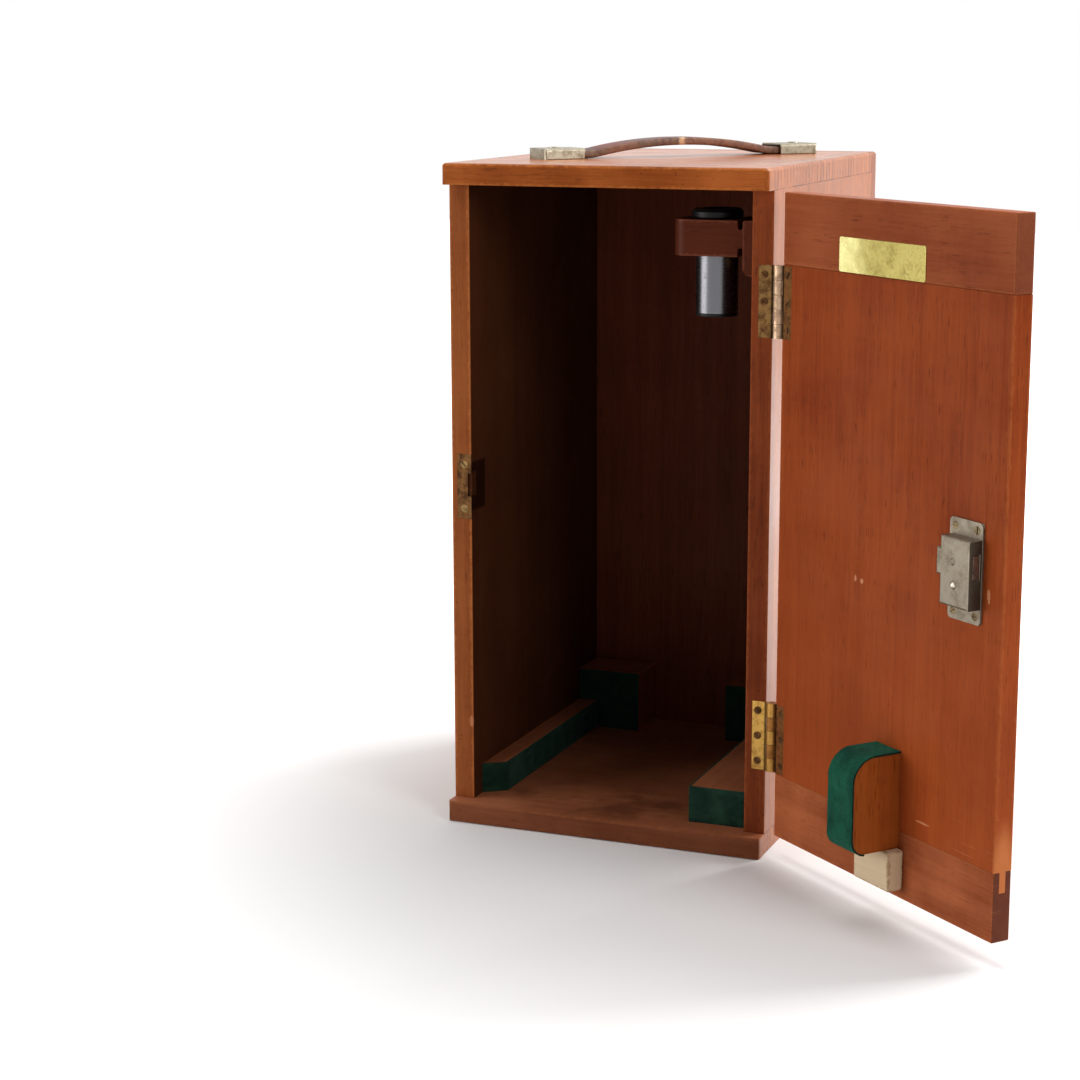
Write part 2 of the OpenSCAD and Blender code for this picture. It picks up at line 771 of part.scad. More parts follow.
// Plan of a rail against the left wall: the wood, or the baize on its front and inner side
module rail_plan(w, front, slant, cloth) {
  y = front_y + front;
  wood_w = w - baize_t;
  skew = slant / wood_w;
  thick_y = baize_t * sqrt(1 + pow(skew, 2));
  x = -in_x;
  if (cloth)
    polygon([[x, y], [x + wood_w, y + slant], [x + wood_w, rail_back_y], [x + w, rail_back_y],
             [x + w, y - thick_y + skew * w], [x, y - thick_y]]);
  else
    polygon([[x, y], [x + wood_w, y + slant], [x + wood_w, rail_back_y], [x, rail_back_y]]);
}

module on_floor(h) translate([0, 0, wall_t]) linear_extrude(h) children();

module left_rail() color(mahogany) on_floor(left_rail_h) rail_plan(left_rail_w, left_rail_front, left_rail_slant, false);

module left_rail_baize() {
  color(baize_green) on_floor(left_rail_h) rail_plan(left_rail_w, left_rail_front, left_rail_slant, true);
}

module right_rail() {
  color(mahogany) on_floor(right_rail_h) mirror([1, 0]) rail_plan(right_rail_w, right_rail_front, 0, false);
}

module right_rail_baize() {
  color(baize_green) on_floor(right_rail_h) mirror([1, 0]) rail_plan(right_rail_w, right_rail_front, 0, true);
}

module rear_block(x, w, h) {
  box([x, rail_back_y + baize_t, wall_t], [x + w, back_y, wall_t + h]);
}

module rear_baize(x, w, h) {
  box([x, rail_back_y, wall_t], [x + w, rail_back_y + baize_t, wall_t + h]);
}

module rear_left_block() color(mahogany) rear_block(-in_x, left_block_w, left_block_h);
module rear_left_baize() color(baize_green) rear_baize(-in_x, left_block_w, left_block_h);
module rear_right_block() color(mahogany) rear_block(in_x - right_block_w, right_block_w, right_block_h);
module rear_right_baize() color(baize_green) rear_baize(in_x - right_block_w, right_block_w, right_block_h);

// Eyepiece rack

module arm_tenon(grow) {
  box([rack_plate_x - cut, rack_y + 4 - grow, arm_low + kerf_h - grow],
      [rack_plate_x + tenon_l + grow, rack_y + rack_d - 4 + grow, rack_z - kerf_h + grow]);
}

module rack_plate() {
  foot_r = 5;
  color(mahogany) difference() {
    translate([in_x, rack_y + rack_d, rack_z - rack_plate_h]) rotate([90, 0, 180]) mirror([0, 0, 1])
      linear_extrude(rack_d) nosed(rack_plate_t, rack_plate_h, foot_r, 1);
    arm_tenon(fit);
    rack_screw_places() screw([3.2, 1.6, 18], fit);
  }
}

module rack_screw_places() {
  for (y = [8, rack_d - 8])
    translate([rack_plate_x, rack_y + y, rack_z - rack_plate_h + 5.5]) rotate([0, -90, 0]) children();
}

// An arm with a throat that is open to the back, where the tube slides in
module rack_arm() {
  kerf_r = kerf_w / 2;
  color(mahogany) difference() {
    union() {
      translate([rack_plate_x, rack_y, arm_low]) mirror([1, 0, 0])
        linear_extrude(arm_h) nosed(arm_l, rack_d, arm_tip_r, arm_tip_r);
      arm_tenon(0);
    }
    translate([rack_plate_x - kerf_r, rack_y - cut, 0]) {
      for (z = [arm_low + kerf_h - kerf_r, rack_z - kerf_h + kerf_r])
        translate([0, 0, z]) rotate([-90, 0, 0]) cylinder(r = kerf_r, h = rack_d + 2 * cut);
      translate([-kerf_r, 0, arm_low - cut]) cube([kerf_w, rack_d + 2 * cut, kerf_h - kerf_r + cut]);
      translate([-kerf_r, 0, rack_z - kerf_h + kerf_r]) cube([kerf_w, rack_d + 2 * cut, kerf_h - kerf_r + cut]);
    }
    translate([eye_x, eye_y, arm_low - cut]) cylinder(r = tube_r + tube_gap, h = arm_h + 2 * cut);
    translate([eye_x - tube_r - tube_gap, eye_y, arm_low - cut])
      cube([2 * (tube_r + tube_gap), rack_d / 2 + cut, arm_h + 2 * cut]);
  }
}

module rack_screws() color(brass) rack_screw_places() screw([3.2, 1.6, 18]);

// Spare eyepiece, hanging by its cap in the arm

module at_eyepiece() translate([eye_x, eye_y, rack_z + 0.05]) children();

module eyepiece_tube() {
  color(bright) at_eyepiece() translate([0, 0, -tube_l + ring_h]) difference() {
    cylinder(r = tube_r, h = tube_l - ring_h);
    translate([0, 0, -cut]) cylinder(r = bore_r, h = tube_l);
  }
}

module eyepiece_cap() {
  edge = 0.8;
  eye_r = 4;
  seat_z = eye_cap_h - 3.4;
  color(black) at_eyepiece() rotate_extrude() polygon([
    [eye_r, -spigot_l], [bore_r - fit, -spigot_l], [bore_r - fit, 0], [eye_cap_r - edge, 0],
    [eye_cap_r, edge], [eye_cap_r, eye_cap_h - 2 * edge], [eye_cap_r - 2 * edge, eye_cap_h],
    [eye_lens_r + 2, eye_cap_h], [eye_lens_r + fit, eye_cap_h - 1], [eye_lens_r + fit, seat_z], [eye_r, seat_z]
  ]);
}

module eye_lens() {
  seat_z = eye_cap_h - 3.4;
  ball_r = 14;
  color(glass) at_eyepiece() intersection() {
    translate([0, 0, seat_z]) cylinder(r = eye_lens_r, h = 2.2);
    translate([0, 0, seat_z + 2.2 - ball_r]) sphere(ball_r);
  }
}

module eyepiece_field_ring() {
  color(black) at_eyepiece() translate([0, 0, -tube_l]) difference() {
    union() {
      cylinder(r = tube_r, h = ring_h);
      cylinder(r = bore_r - fit, h = ring_h + 4);
    }
    translate([0, 0, ring_h]) cylinder(r = field_lens_r + fit, h = 4 + cut);
    translate([0, 0, -cut]) cylinder(r = field_lens_r - 1, h = ring_h + 2 * cut);
  }
}

module field_lens() {
  ball_r = 18;
  color(glass) at_eyepiece() translate([0, 0, ring_h - tube_l]) intersection() {
    cylinder(r = field_lens_r, h = 3.2);
    translate([0, 0, 3.2 - ball_r]) sphere(ball_r);
  }
}

// The ring that frames the picture, part way down the tube
module eyepiece_stop() {
  color(black) at_eyepiece() translate([0, 0, -tube_l * 0.45]) difference() {
    cylinder(r = bore_r - fit, h = 1.5);
    translate([0, 0, -cut]) cylinder(r = 7.5, h = 1.5 + 2 * cut);
  }
}

top_board();
base_board();
left_side();
right_side();
back_panel();
back_screws();
handle_cap_left();
handle_cap_right();
handle_screws();
handle_strap();
door_panel();
door_top_cleat();
door_bottom_cleat();
name_plate();
foot_block();
foot_block_baize();
packing_block();
keyhole_plate();
keyhole_pins();
upper_frame_leaf();
upper_door_leaf();
upper_hinge_pin();
lower_frame_leaf();
lower_door_leaf();
lower_hinge_pin();
frame_leaf_screws();
door_leaf_screws();
lock_plate();
lock_case();
lock_bolt();
lock_spring();
lock_ward();
lock_pins();
lock_screws();
strike_plate();
strike_screws();
left_rail();
left_rail_baize();
right_rail();
right_rail_baize();
rear_left_block();
rear_left_baize();
rear_right_block();
rear_right_baize();
rack_plate();
rack_arm();
rack_screws();
eyepiece_tube();
eyepiece_cap();
eyepiece_field_ring();
eyepiece_stop();
eye_lens();
field_lens();
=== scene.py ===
"""Looks of an upright wooden instrument case with its door open.

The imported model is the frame. Each class below finishes one sub-assembly: it takes the
bodies' own nodes, softens their edges or replaces them with modelled pieces, and gives
every surface a procedural finish. Lengths are in metres unless a name ends in _mm.
"""

import json
import logging
import math
import random
from dataclasses import dataclass, field, replace
from enum import Enum
from typing import Callable, Iterable, Optional, Sequence

import bpy
from mathutils import Euler, Matrix, Vector

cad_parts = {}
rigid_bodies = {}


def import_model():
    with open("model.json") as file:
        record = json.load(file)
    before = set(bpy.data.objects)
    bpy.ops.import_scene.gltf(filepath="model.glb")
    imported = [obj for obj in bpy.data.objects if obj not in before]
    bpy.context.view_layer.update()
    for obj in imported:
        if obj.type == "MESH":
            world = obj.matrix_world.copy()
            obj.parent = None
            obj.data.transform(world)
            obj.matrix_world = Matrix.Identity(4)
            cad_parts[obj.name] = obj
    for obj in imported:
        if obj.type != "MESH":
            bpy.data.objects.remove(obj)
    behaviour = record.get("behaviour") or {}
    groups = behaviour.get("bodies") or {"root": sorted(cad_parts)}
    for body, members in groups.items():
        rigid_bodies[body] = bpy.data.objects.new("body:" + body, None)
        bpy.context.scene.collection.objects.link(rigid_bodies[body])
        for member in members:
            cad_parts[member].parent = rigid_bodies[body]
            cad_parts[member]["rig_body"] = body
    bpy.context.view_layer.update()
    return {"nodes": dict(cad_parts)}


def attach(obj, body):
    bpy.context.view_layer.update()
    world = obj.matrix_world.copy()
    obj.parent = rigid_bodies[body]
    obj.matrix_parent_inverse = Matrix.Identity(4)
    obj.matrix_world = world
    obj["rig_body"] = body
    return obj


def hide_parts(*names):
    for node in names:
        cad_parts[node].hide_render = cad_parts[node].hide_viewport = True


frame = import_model()

LOG = logging.getLogger("case")
MM = 0.001
DOOR_OPEN = math.radians(141.0)
HANDLE_TURN = math.radians(47.0)
HINGE_AXIS = Vector((97.9, -99.2, 0.0)) * MM
HANDLE_MIDDLE = Vector((0.0, 13.0, 380.0)) * MM

Colour = tuple[float, float, float]


def srgb(red: float, green: float, blue: float) -> Colour:
    """Turns display values from 0 to 255 into the linear colour that shaders use."""

    def linear(value: float) -> float:
        """Undoes the display curve for one channel."""
        share = value / 255.0
        return share / 12.92 if share <= 0.04045 else ((share + 0.055) / 1.055) ** 2.4

    return linear(red), linear(green), linear(blue)


class Grain(Enum):
    """Which way a board's fibres run, and whether the board hangs on the open door."""

    UP = "up"
    ACROSS = "across"
    BACK = "back"
    DOOR_UP = "door_up"
    DOOR_ACROSS = "door_across"

    def turn(self) -> Euler:
        """Gives the turn that lays the fibres along the pattern's Z axis."""
        door = Matrix.Rotation(-DOOR_OPEN, 3, "Z")
        lay = Matrix.Rotation(math.radians(-90.0), 3, "Y")
        choices = {
            Grain.UP: Matrix.Identity(3),
            Grain.ACROSS: lay,
            Grain.BACK: lay @ Matrix.Rotation(math.radians(-90.0), 3, "Z"),
            Grain.DOOR_UP: door,
            Grain.DOOR_ACROSS: lay @ door,
        }
        return choices[self].to_euler("XYZ")


class Graph:
    """A material's node tree with short calls for the nodes that the finishes share."""

    def __init__(self, name: str) -> None:
        """Starts a material of that name with a Principled shader on its output."""
        self.material = bpy.data.materials.new(name)
        self.material.use_nodes = True
        self.tree = self.material.node_tree
        self.tree.nodes.clear()
        self.output = self.tree.nodes.new("ShaderNodeOutputMaterial")
        self.shader = self.tree.nodes.new("ShaderNodeBsdfPrincipled")
        self.tree.links.new(self.shader.outputs[0], self.output.inputs[0])
        coordinates = self.tree.nodes.new("ShaderNodeTexCoord")
        self.place = coordinates.outputs["Object"]
        self.normal = coordinates.outputs["Normal"]

    def put(self, socket: bpy.types.NodeSocket, value: object) -> None:
        """Links an output to a socket, or sets the socket to a plain value."""
        if isinstance(value, bpy.types.NodeSocket):
            self.tree.links.new(value, socket)
        elif isinstance(value, tuple) and len(value) == 3 and len(socket.default_value) == 4:
            socket.default_value = (*value, 1.0)
        else:
            socket.default_value = value

    def mapping(self, turn: Sequence[float], shift: Sequence[float] = (0, 0, 0), scale: Sequence[float] = (1, 1, 1)) -> bpy.types.NodeSocket:
        """Turns, moves and stretches the object's own coordinates.

        Args:
            turn: Euler angles that lay the pattern along the piece.
            shift: move after the turn, in metres.
            scale: stretch before the turn.

        Returns:
            The mapped vector.
        """
        node = self.tree.nodes.new("ShaderNodeMapping")
        self.put(node.inputs["Vector"], self.place)
        node.inputs["Rotation"].default_value = tuple(turn)
        node.inputs["Location"].default_value = tuple(shift)
        node.inputs["Scale"].default_value = tuple(scale)
        return node.outputs[0]

    def stretch(self, vector: bpy.types.NodeSocket, scale: Sequence[float]) -> bpy.types.NodeSocket:
        """Multiplies a vector by a fixed scale on each axis."""
        node = self.tree.nodes.new("ShaderNodeVectorMath")
        node.operation = "MULTIPLY"
        self.put(node.inputs[0], vector)
        node.inputs[1].default_value = tuple(scale)
        return node.outputs[0]

    def shift(self, vector: bpy.types.NodeSocket, by: Sequence[float]) -> bpy.types.NodeSocket:
        """Adds a fixed vector."""
        node = self.tree.nodes.new("ShaderNodeVectorMath")
        node.operation = "ADD"
        self.put(node.inputs[0], vector)
        node.inputs[1].default_value = tuple(by)
        return node.outputs[0]

    def noise(self, vector: bpy.types.NodeSocket, scale: float, detail: float = 2.0, rough: float = 0.5, warp: float = 0.0) -> bpy.types.NodeSocket:
        """Adds a noise texture and returns its grey value."""
        node = self.tree.nodes.new("ShaderNodeTexNoise")
        self.put(node.inputs["Vector"], vector)
        node.inputs["Scale"].default_value = scale
        node.inputs["Detail"].default_value = detail
        node.inputs["Roughness"].default_value = rough
        node.inputs["Distortion"].default_value = warp
        return node.outputs["Fac"]

    def cells(self, vector: bpy.types.NodeSocket, scale: float, feature: str = "F1") -> bpy.types.NodeSocket:
        """Adds a Voronoi texture and returns its distance."""
        node = self.tree.nodes.new("ShaderNodeTexVoronoi")
        node.feature = feature
        self.put(node.inputs["Vector"], vector)
        node.inputs["Scale"].default_value = scale
        return node.outputs["Distance"]

    def calc(self, operation: str, first: object, second: object = 0.0, third: object = 0.0) -> bpy.types.NodeSocket:
        """Adds a Math node and returns its value."""
        node = self.tree.nodes.new("ShaderNodeMath")
        node.operation = operation
        for socket, value in zip(node.inputs, (first, second, third)):
            self.put(socket, value)
        return node.outputs[0]

    def span(self, value: object, low: float, high: float, to_low: float = 0.0, to_high: float = 1.0) -> bpy.types.NodeSocket:
        """Maps low to high smoothly onto another range, held at its ends."""
        node = self.tree.nodes.new("ShaderNodeMapRange")
        node.interpolation_type = "SMOOTHSTEP"
        self.put(node.inputs["Value"], value)
        for name, number in (("From Min", low), ("From Max", high), ("To Min", to_low), ("To Max", to_high)):
            node.inputs[name].default_value = number
        return node.outputs["Result"]

    def blend(self, share: object, first: object, second: object, mode: str = "MIX") -> bpy.types.NodeSocket:
        """Mixes two colours by a share of the second."""
        node = self.tree.nodes.new("ShaderNodeMix")
        node.data_type = "RGBA"
        node.blend_type = mode
        self.put(node.inputs[0], share)
        self.put(node.inputs[6], first)
        self.put(node.inputs[7], second)
        return node.outputs[2]

    def axes(self, vector: bpy.types.NodeSocket) -> tuple[bpy.types.NodeSocket, ...]:
        """Splits a vector into its three values."""
        node = self.tree.nodes.new("ShaderNodeSeparateXYZ")
        self.put(node.inputs[0], vector)
        return tuple(node.outputs)

    def bump(self, height: bpy.types.NodeSocket, depth: float, strength: float = 1.0) -> None:
        """Raises the surface by a grey value, depth metres from 0 to 1."""
        node = self.tree.nodes.new("ShaderNodeBump")
        node.inputs["Strength"].default_value = strength
        node.inputs["Distance"].default_value = depth
        self.put(node.inputs["Height"], height)
        if self.shader.inputs["Normal"].is_linked:
            self.put(node.inputs["Normal"], self.shader.inputs["Normal"].links[0].from_socket)
        self.put(self.shader.inputs["Normal"], node.outputs[0])

    def near(self, point: Vector, radii: Sequence[float], turn: Sequence[float] = (0, 0, 0)) -> bpy.types.NodeSocket:
        """Measures how far a place lies from a point, in radii of an ellipsoid.

        Args:
            point: the middle, in the row's frame.
            radii: the ellipsoid's three radii in metres, along the turned axes.
            turn: Euler angles of the turn.

        Returns:
            The distance: 0 in the middle and 1 on the ellipsoid.
        """
        spot = Euler(turn).to_matrix() @ point
        vector = self.stretch(self.mapping(turn, -spot), [1.0 / r for r in radii])
        node = self.tree.nodes.new("ShaderNodeVectorMath")
        node.operation = "LENGTH"
        self.put(node.inputs[0], vector)
        return node.outputs["Value"]

    def facing(self, axis: Sequence[float], least: float = 0.7) -> bpy.types.NodeSocket:
        """Gives 1 where the surface faces along an axis, either way.

        Args:
            axis: a unit vector in the row's frame.
            least: the cosine at which the mask is half on.

        Returns:
            The mask.
        """
        node = self.tree.nodes.new("ShaderNodeVectorMath")
        node.operation = "DOT_PRODUCT"
        self.put(node.inputs[0], self.normal)
        node.inputs[1].default_value = tuple(axis)
        return self.span(self.calc("ABSOLUTE", node.outputs["Value"]), least - 0.08, least + 0.08)

    def within(self, low_mm: Sequence[float], high_mm: Sequence[float], turn: Sequence[float] = (0, 0, 0)) -> bpy.types.NodeSocket:
        """Gives 1 inside a box and 0 outside it.

        Args:
            low_mm: the low corner, in the turned frame.
            high_mm: the high corner.
            turn: Euler angles from the row's frame to the box's own.

        Returns:
            The mask.
        """
        low, high = Vector(low_mm) * MM, Vector(high_mm) * MM
        node = self.tree.nodes.new("ShaderNodeVectorMath")
        node.operation = "ABSOLUTE"
        self.put(node.inputs[0], self.mapping(turn, -(low + high) / 2))
        x, y, z = self.axes(self.shift(node.outputs[0], -(high - low) / 2))
        most = self.calc("MAXIMUM", self.calc("MAXIMUM", x, y), z)
        return self.span(most, -0.00005, 0.00005, 1.0, 0.0)

    def edge_distance(self, low: Vector, high: Vector, turn: Sequence[float]) -> bpy.types.NodeSocket:
        """Measures how far a place on a box lies from the box's nearest edge.

        Args:
            low: the box's low corner, in the turned frame.
            high: its high corner.
            turn: Euler angles from the row's frame to the box's own.

        Returns:
            The distance in metres.
        """
        middle, half = (low + high) / 2, (high - low) / 2
        node = self.tree.nodes.new("ShaderNodeVectorMath")
        node.operation = "ABSOLUTE"
        self.put(node.inputs[0], self.mapping(turn, -middle))
        x, y, z = self.axes(self.shift(node.outputs[0], -half))
        inner = self.calc("MINIMUM", x, y)
        outer = self.calc("MAXIMUM", x, y)
        middle_value = self.calc("MAXIMUM", inner, self.calc("MINIMUM", outer, z))
        return self.calc("ABSOLUTE", middle_value)


Mask = Callable[[Graph], bpy.types.NodeSocket]
Marks = Callable[[Graph, bpy.types.NodeSocket], bpy.types.NodeSocket]


def inside_case(g: Graph) -> bpy.types.NodeSocket:
    """Masks the unpolished surfaces inside the case, darkened partly by age and partly as painted shade."""
    return g.within((-82.7, -98.6, 11.8), (82.7, 100.2, 368.2))


def outside_case(g: Graph) -> bpy.types.NodeSocket:
    """Masks the polished outer faces of sides, top and back."""
    x, _, z = g.axes(g.place)
    rim = g.span(g.calc("ADD", g.calc("ABSOLUTE", x), z), 0.4718, 0.4722)
    return g.calc("MAXIMUM", rim, g.calc("SUBTRACT", 1.0, g.within((-94.3, -200.0, -5.0), (94.3, 109.8, 379.7))))


def outside_door(g: Graph) -> bpy.types.NodeSocket:
    """Masks the door's polished outer face."""
    level = (Grain.DOOR_UP.turn().to_matrix() @ door_point(100.0, 190.0, -11.0)).y * 1000
    return g.within((-400.0, level - 5.0, -10.0), (400.0, level + 0.3, 400.0), Grain.DOOR_UP.turn())


@dataclass(frozen=True)
class Wood:
    """A varnished or bare timber with growth rings, fibres, pores and worn edges."""

    name: str
    dark: Colour
    light: Colour
    pore: Colour
    worn: Colour
    gloss: float = 0.34
    coat: float = 0.0
    pores: float = 0.38
    wear: float = 0.5
    ring_mm: float = 5.0
    pith_mm: tuple[float, float] = (70.0, 140.0)
    end_grain: float = 0.12
    end: Colour = (0.05, 0.02, 0.012)
    inner: float = 1.0
    blotch: float = 0.8
    figure: float = 0.3
    lines: float = 1.0
    # Colour of the polished outer faces: partly fading, partly painted glare.
    faded_and_glare: Colour = (0.365, 0.122, 0.04)
    fade: float = 0.65

    def on(self, node: str, grain: Grain, seed: float = 0.0, marks: Optional[Marks] = None, inside: Optional[Mask] = None, polished: Optional[Mask] = None) -> bpy.types.Material:
        """Makes this timber for one board.

        Args:
            node: the board's node, whose box places the worn edges.
            grain: which way its fibres run.
            seed: shifts the pattern, so that no two boards match.
            marks: adds stains, chips or specks to the colour.
            inside: masks the faces inside the case, darkened partly by age and partly as painted shade.
            polished: masks the faces that carry the polish, whose colour is made paler and flatter, partly fading and
                partly painted glare.

        Returns:
            The material.
        """
        g = Graph(f"{self.name}_{node}")
        turn = grain.turn()
        place = g.mapping(turn, (seed * 0.731, seed * 1.137, seed * 2.411))
        sway = g.noise(g.stretch(place, (6.0, 6.0, 2.2)), 1.0, 2.0)
        sway_b = g.noise(g.shift(g.stretch(place, (7.0, 7.0, 2.6)), (9.0, 4.0, 7.0)), 1.0, 2.0)
        x, y, _ = g.axes(g.mapping(turn))
        pith_x, pith_y = (p * MM for p in self.pith_mm)
        across = g.calc("ADD", g.calc("ADD", x, pith_x), g.calc("MULTIPLY", g.calc("SUBTRACT", sway, 0.5), 0.035))
        deep = g.calc("ADD", g.calc("ADD", y, pith_y), g.calc("MULTIPLY", g.calc("SUBTRACT", sway_b, 0.5), 0.035))
        radius = g.calc("SQRT", g.calc("ADD", g.calc("MULTIPLY", across, across), g.calc("MULTIPLY", deep, deep)))
        ring = g.span(g.calc("PINGPONG", g.calc("MULTIPLY", radius, 1.0 / (self.ring_mm * MM)), 0.5), 0.0, 0.5)
        ribbon = g.noise(g.stretch(place, (95.0, 95.0, 3.0)), 1.0, 3.0, 0.55, 0.3)
        streak = g.noise(g.stretch(place, (420.0, 420.0, 9.0)), 1.0, 2.0, 0.5)
        fibre = g.noise(g.stretch(place, (1100.0, 1100.0, 34.0)), 1.0, 3.0, 0.6)
        ripple = g.noise(g.stretch(place, (70.0, 70.0, 330.0)), 1.0, 3.0, 0.6)
        blotch = g.noise(place, 14.0, 3.0, 0.55)
        figure = 0.5
        for value, share in ((ribbon, self.figure + 0.04), (streak, 0.14 * self.lines), (fibre, 0.32 * self.lines), (ripple, 0.08), (ring, 0.02)):
            figure = g.calc("MULTIPLY_ADD", g.calc("SUBTRACT", value, 0.5), share, figure)
        cloud = g.calc("SUBTRACT", blotch, 0.5)
        tone = g.calc("MULTIPLY_ADD", cloud, self.blotch, figure)
        colour = g.blend(g.span(tone, 0.15, 0.85), self.dark, self.light)
        dash = g.noise(g.stretch(place, (1500.0, 1500.0, 115.0)), 1.0, 1.0, 0.4)
        patch = g.noise(g.stretch(place, (160.0, 160.0, 12.0)), 1.0, 1.0)
        pore = g.calc("MULTIPLY", g.span(dash, 0.60, 0.72), g.span(patch, 0.30, 0.62))
        colour = g.blend(g.calc("MULTIPLY", pore, self.pores), colour, self.pore)
        low, high = own_box(node, turn)
        edge = g.edge_distance(low, high, turn)
        rough_edge = g.calc("MULTIPLY_ADD", g.calc("SUBTRACT", g.noise(place, 260.0, 3.0, 0.65), 0.5), 0.0045, edge)
        rub = g.calc("MULTIPLY", g.span(rough_edge, 0.0002, 0.0017, 1.0, 0.0), self.wear)
        colour = g.blend(rub, colour, self.worn)
        end = g.calc("MULTIPLY", g.facing(turn.to_matrix().transposed() @ Vector((0, 0, 1))), self.end_grain)
        colour = g.blend(end, colour, self.end)
        # Partly age, partly painted shade: faces inside the case are darkened towards near black.
        if inside is not None and self.inner < 1.0:
            colour = g.blend(g.calc("MULTIPLY", inside(g), 1.0 - self.inner), colour, (0.0132, 0.0064, 0.0051))
        # Partly fading, partly painted glare: polished outer faces take a paler, flatter colour.
        if polished is not None:
            outer = polished(g)
            pale = g.blend(g.span(g.calc("MULTIPLY_ADD", cloud, 0.3, figure), 0.26, 0.74), tuple(0.62 * c for c in self.faded_and_glare), tuple(1.38 * c for c in self.faded_and_glare))
            colour = g.blend(g.calc("MULTIPLY", outer, self.fade), colour, pale)
            g.put(g.shader.inputs["Coat Weight"], g.calc("MULTIPLY", outer, self.coat))
        if marks is not None:
            colour = marks(g, colour)
        g.put(g.shader.inputs["Base Color"], colour)
        polish = g.span(g.noise(place, 30.0, 4.0, 0.6), 0.3, 0.7, self.gloss - 0.05, self.gloss + 0.12)
        g.put(g.shader.inputs["Roughness"], g.calc("ADD", polish, g.calc("MULTIPLY", rub, 0.25)))
        g.shader.inputs["Specular IOR Level"].default_value = 0.04
        g.shader.inputs["Coat Roughness"].default_value = 0.2
        relief = g.calc("MULTIPLY_ADD", pore, -0.8, g.calc("MULTIPLY", fibre, 0.35))
        g.bump(relief, 0.00009, 0.8)
        return g.material


@dataclass(frozen=True)
class Metal:
    """An aged plate or casting: tarnish in blotches, fine scratches and dull spots."""

    name: str
    bright: Colour
    tarnish: Colour
    cover: float = 0.5
    gloss: float = 0.30
    metallic: float = 1.0
    grit: float = 0.00002
    spots: float = 0.5
    # Pale colour of rubbed places and of painted highlights.
    rub: Colour = (0.5, 0.35, 0.24)

    def on(self, node: str, scale: float = 220.0, shade_and_dirt: Optional[Mask] = None, rubbed: Optional[Mask] = None) -> bpy.types.Material:
        """Makes this metal for one piece.

        Args:
            node: the piece's node.
            scale: tarnish clouds are about 1/scale metres wide.
            shade_and_dirt: masks where painted shade, with some dirt, darkens the metal.
            rubbed: masks where the metal is made pale: a painted highlight on the name plate, a painted shine and
                rubbing on the hinge knuckles.

        Returns:
            The material.
        """
        g = Graph(f"{self.name}_{node}")
        place = g.mapping((0.2, 0.4, 0.1))
        cloud = g.noise(place, scale, 5.0, 0.6, 0.3)
        fleck = g.noise(place, scale * 6.0, 2.0, 0.6)
        film = g.calc("MULTIPLY_ADD", g.calc("SUBTRACT", fleck, 0.5), 0.4, cloud)
        low = 0.58 - 0.4 * self.cover
        share = g.span(film, low, low + 0.3)
        colour = g.blend(share, self.bright, self.tarnish)
        spot = g.span(g.noise(place, scale * 3.1, 2.0, 0.5), 0.66, 0.74)
        colour = g.blend(g.calc("MULTIPLY", spot, self.spots), colour, tuple(0.3 * c for c in self.tarnish))
        # Painted highlight and shine, with some rubbing: masked places turn towards the pale rub colour.
        if rubbed is not None:
            colour = g.blend(g.calc("MULTIPLY", rubbed(g), g.span(cloud, 0.3, 0.6, 1.0, 0.55)), colour, self.rub)
        # Painted shade, with some dirt: the masked places are darkened towards near black.
        if shade_and_dirt is not None:
            colour = g.blend(g.calc("MULTIPLY", shade_and_dirt(g), 0.85), colour, tuple(0.08 * c for c in self.tarnish))
        g.put(g.shader.inputs["Base Color"], colour)
        g.shader.inputs["Metallic"].default_value = self.metallic
        rough = g.calc("MULTIPLY_ADD", share, 0.2, self.gloss)
        scratch = g.noise(g.stretch(place, (2500.0, 120.0, 2500.0)), 1.0, 2.0, 0.5)
        g.put(g.shader.inputs["Roughness"], g.calc("MULTIPLY_ADD", g.calc("SUBTRACT", scratch, 0.5), 0.2, rough))
        g.bump(g.calc("ADD", g.calc("MULTIPLY", fleck, 0.6), g.calc("MULTIPLY", cloud, 0.4)), self.grit, 0.6)
        return g.material


@dataclass(frozen=True)
class Felt:
    """Green baize: matted fibres, a soft sheen and a little dust."""

    name: str
    deep: Colour
    nap: Colour
    dust: Colour

    def on(self, node: str, cut: Optional[Sequence[float]] = None) -> bpy.types.Material:
        """Makes the baize for one facing.

        Args:
            node: the facing's node.
            cut: the axis that its cut edges face, which are darkened, partly by glue and partly as painted shade.

        Returns:
            The material.
        """
        g = Graph(f"{self.name}_{node}")
        place = g.mapping((0.3, 0.5, 0.2))
        mat = g.noise(place, 1400.0, 4.0, 0.75, 1.2)
        cloud = g.noise(place, 70.0, 3.0, 0.6)
        share = g.calc("MULTIPLY_ADD", g.calc("SUBTRACT", cloud, 0.5), 0.9, mat)
        colour = g.blend(g.span(share, 0.3, 0.75), self.deep, self.nap)
        lint = g.span(g.noise(place, 900.0, 1.0, 0.5, 2.0), 0.74, 0.80)
        colour = g.blend(g.calc("MULTIPLY", lint, 0.12), colour, self.dust)
        # Partly glue, partly painted shade: faces along the cut axis are darkened to near black.
        if cut is not None:
            colour = g.blend(g.calc("MULTIPLY", g.facing(cut, 0.6), 0.85), colour, (0.004, 0.008, 0.006))
        g.put(g.shader.inputs["Base Color"], colour)
        g.shader.inputs["Roughness"].default_value = 0.95
        g.shader.inputs["Specular IOR Level"].default_value = 0.08
        g.shader.inputs["Sheen Weight"].default_value = 0.07
        g.shader.inputs["Sheen Roughness"].default_value = 0.6
        g.shader.inputs["Sheen Tint"].default_value = (0.35, 0.75, 0.62, 1.0)
        g.bump(mat, 0.00025, 0.9)
        return g.material


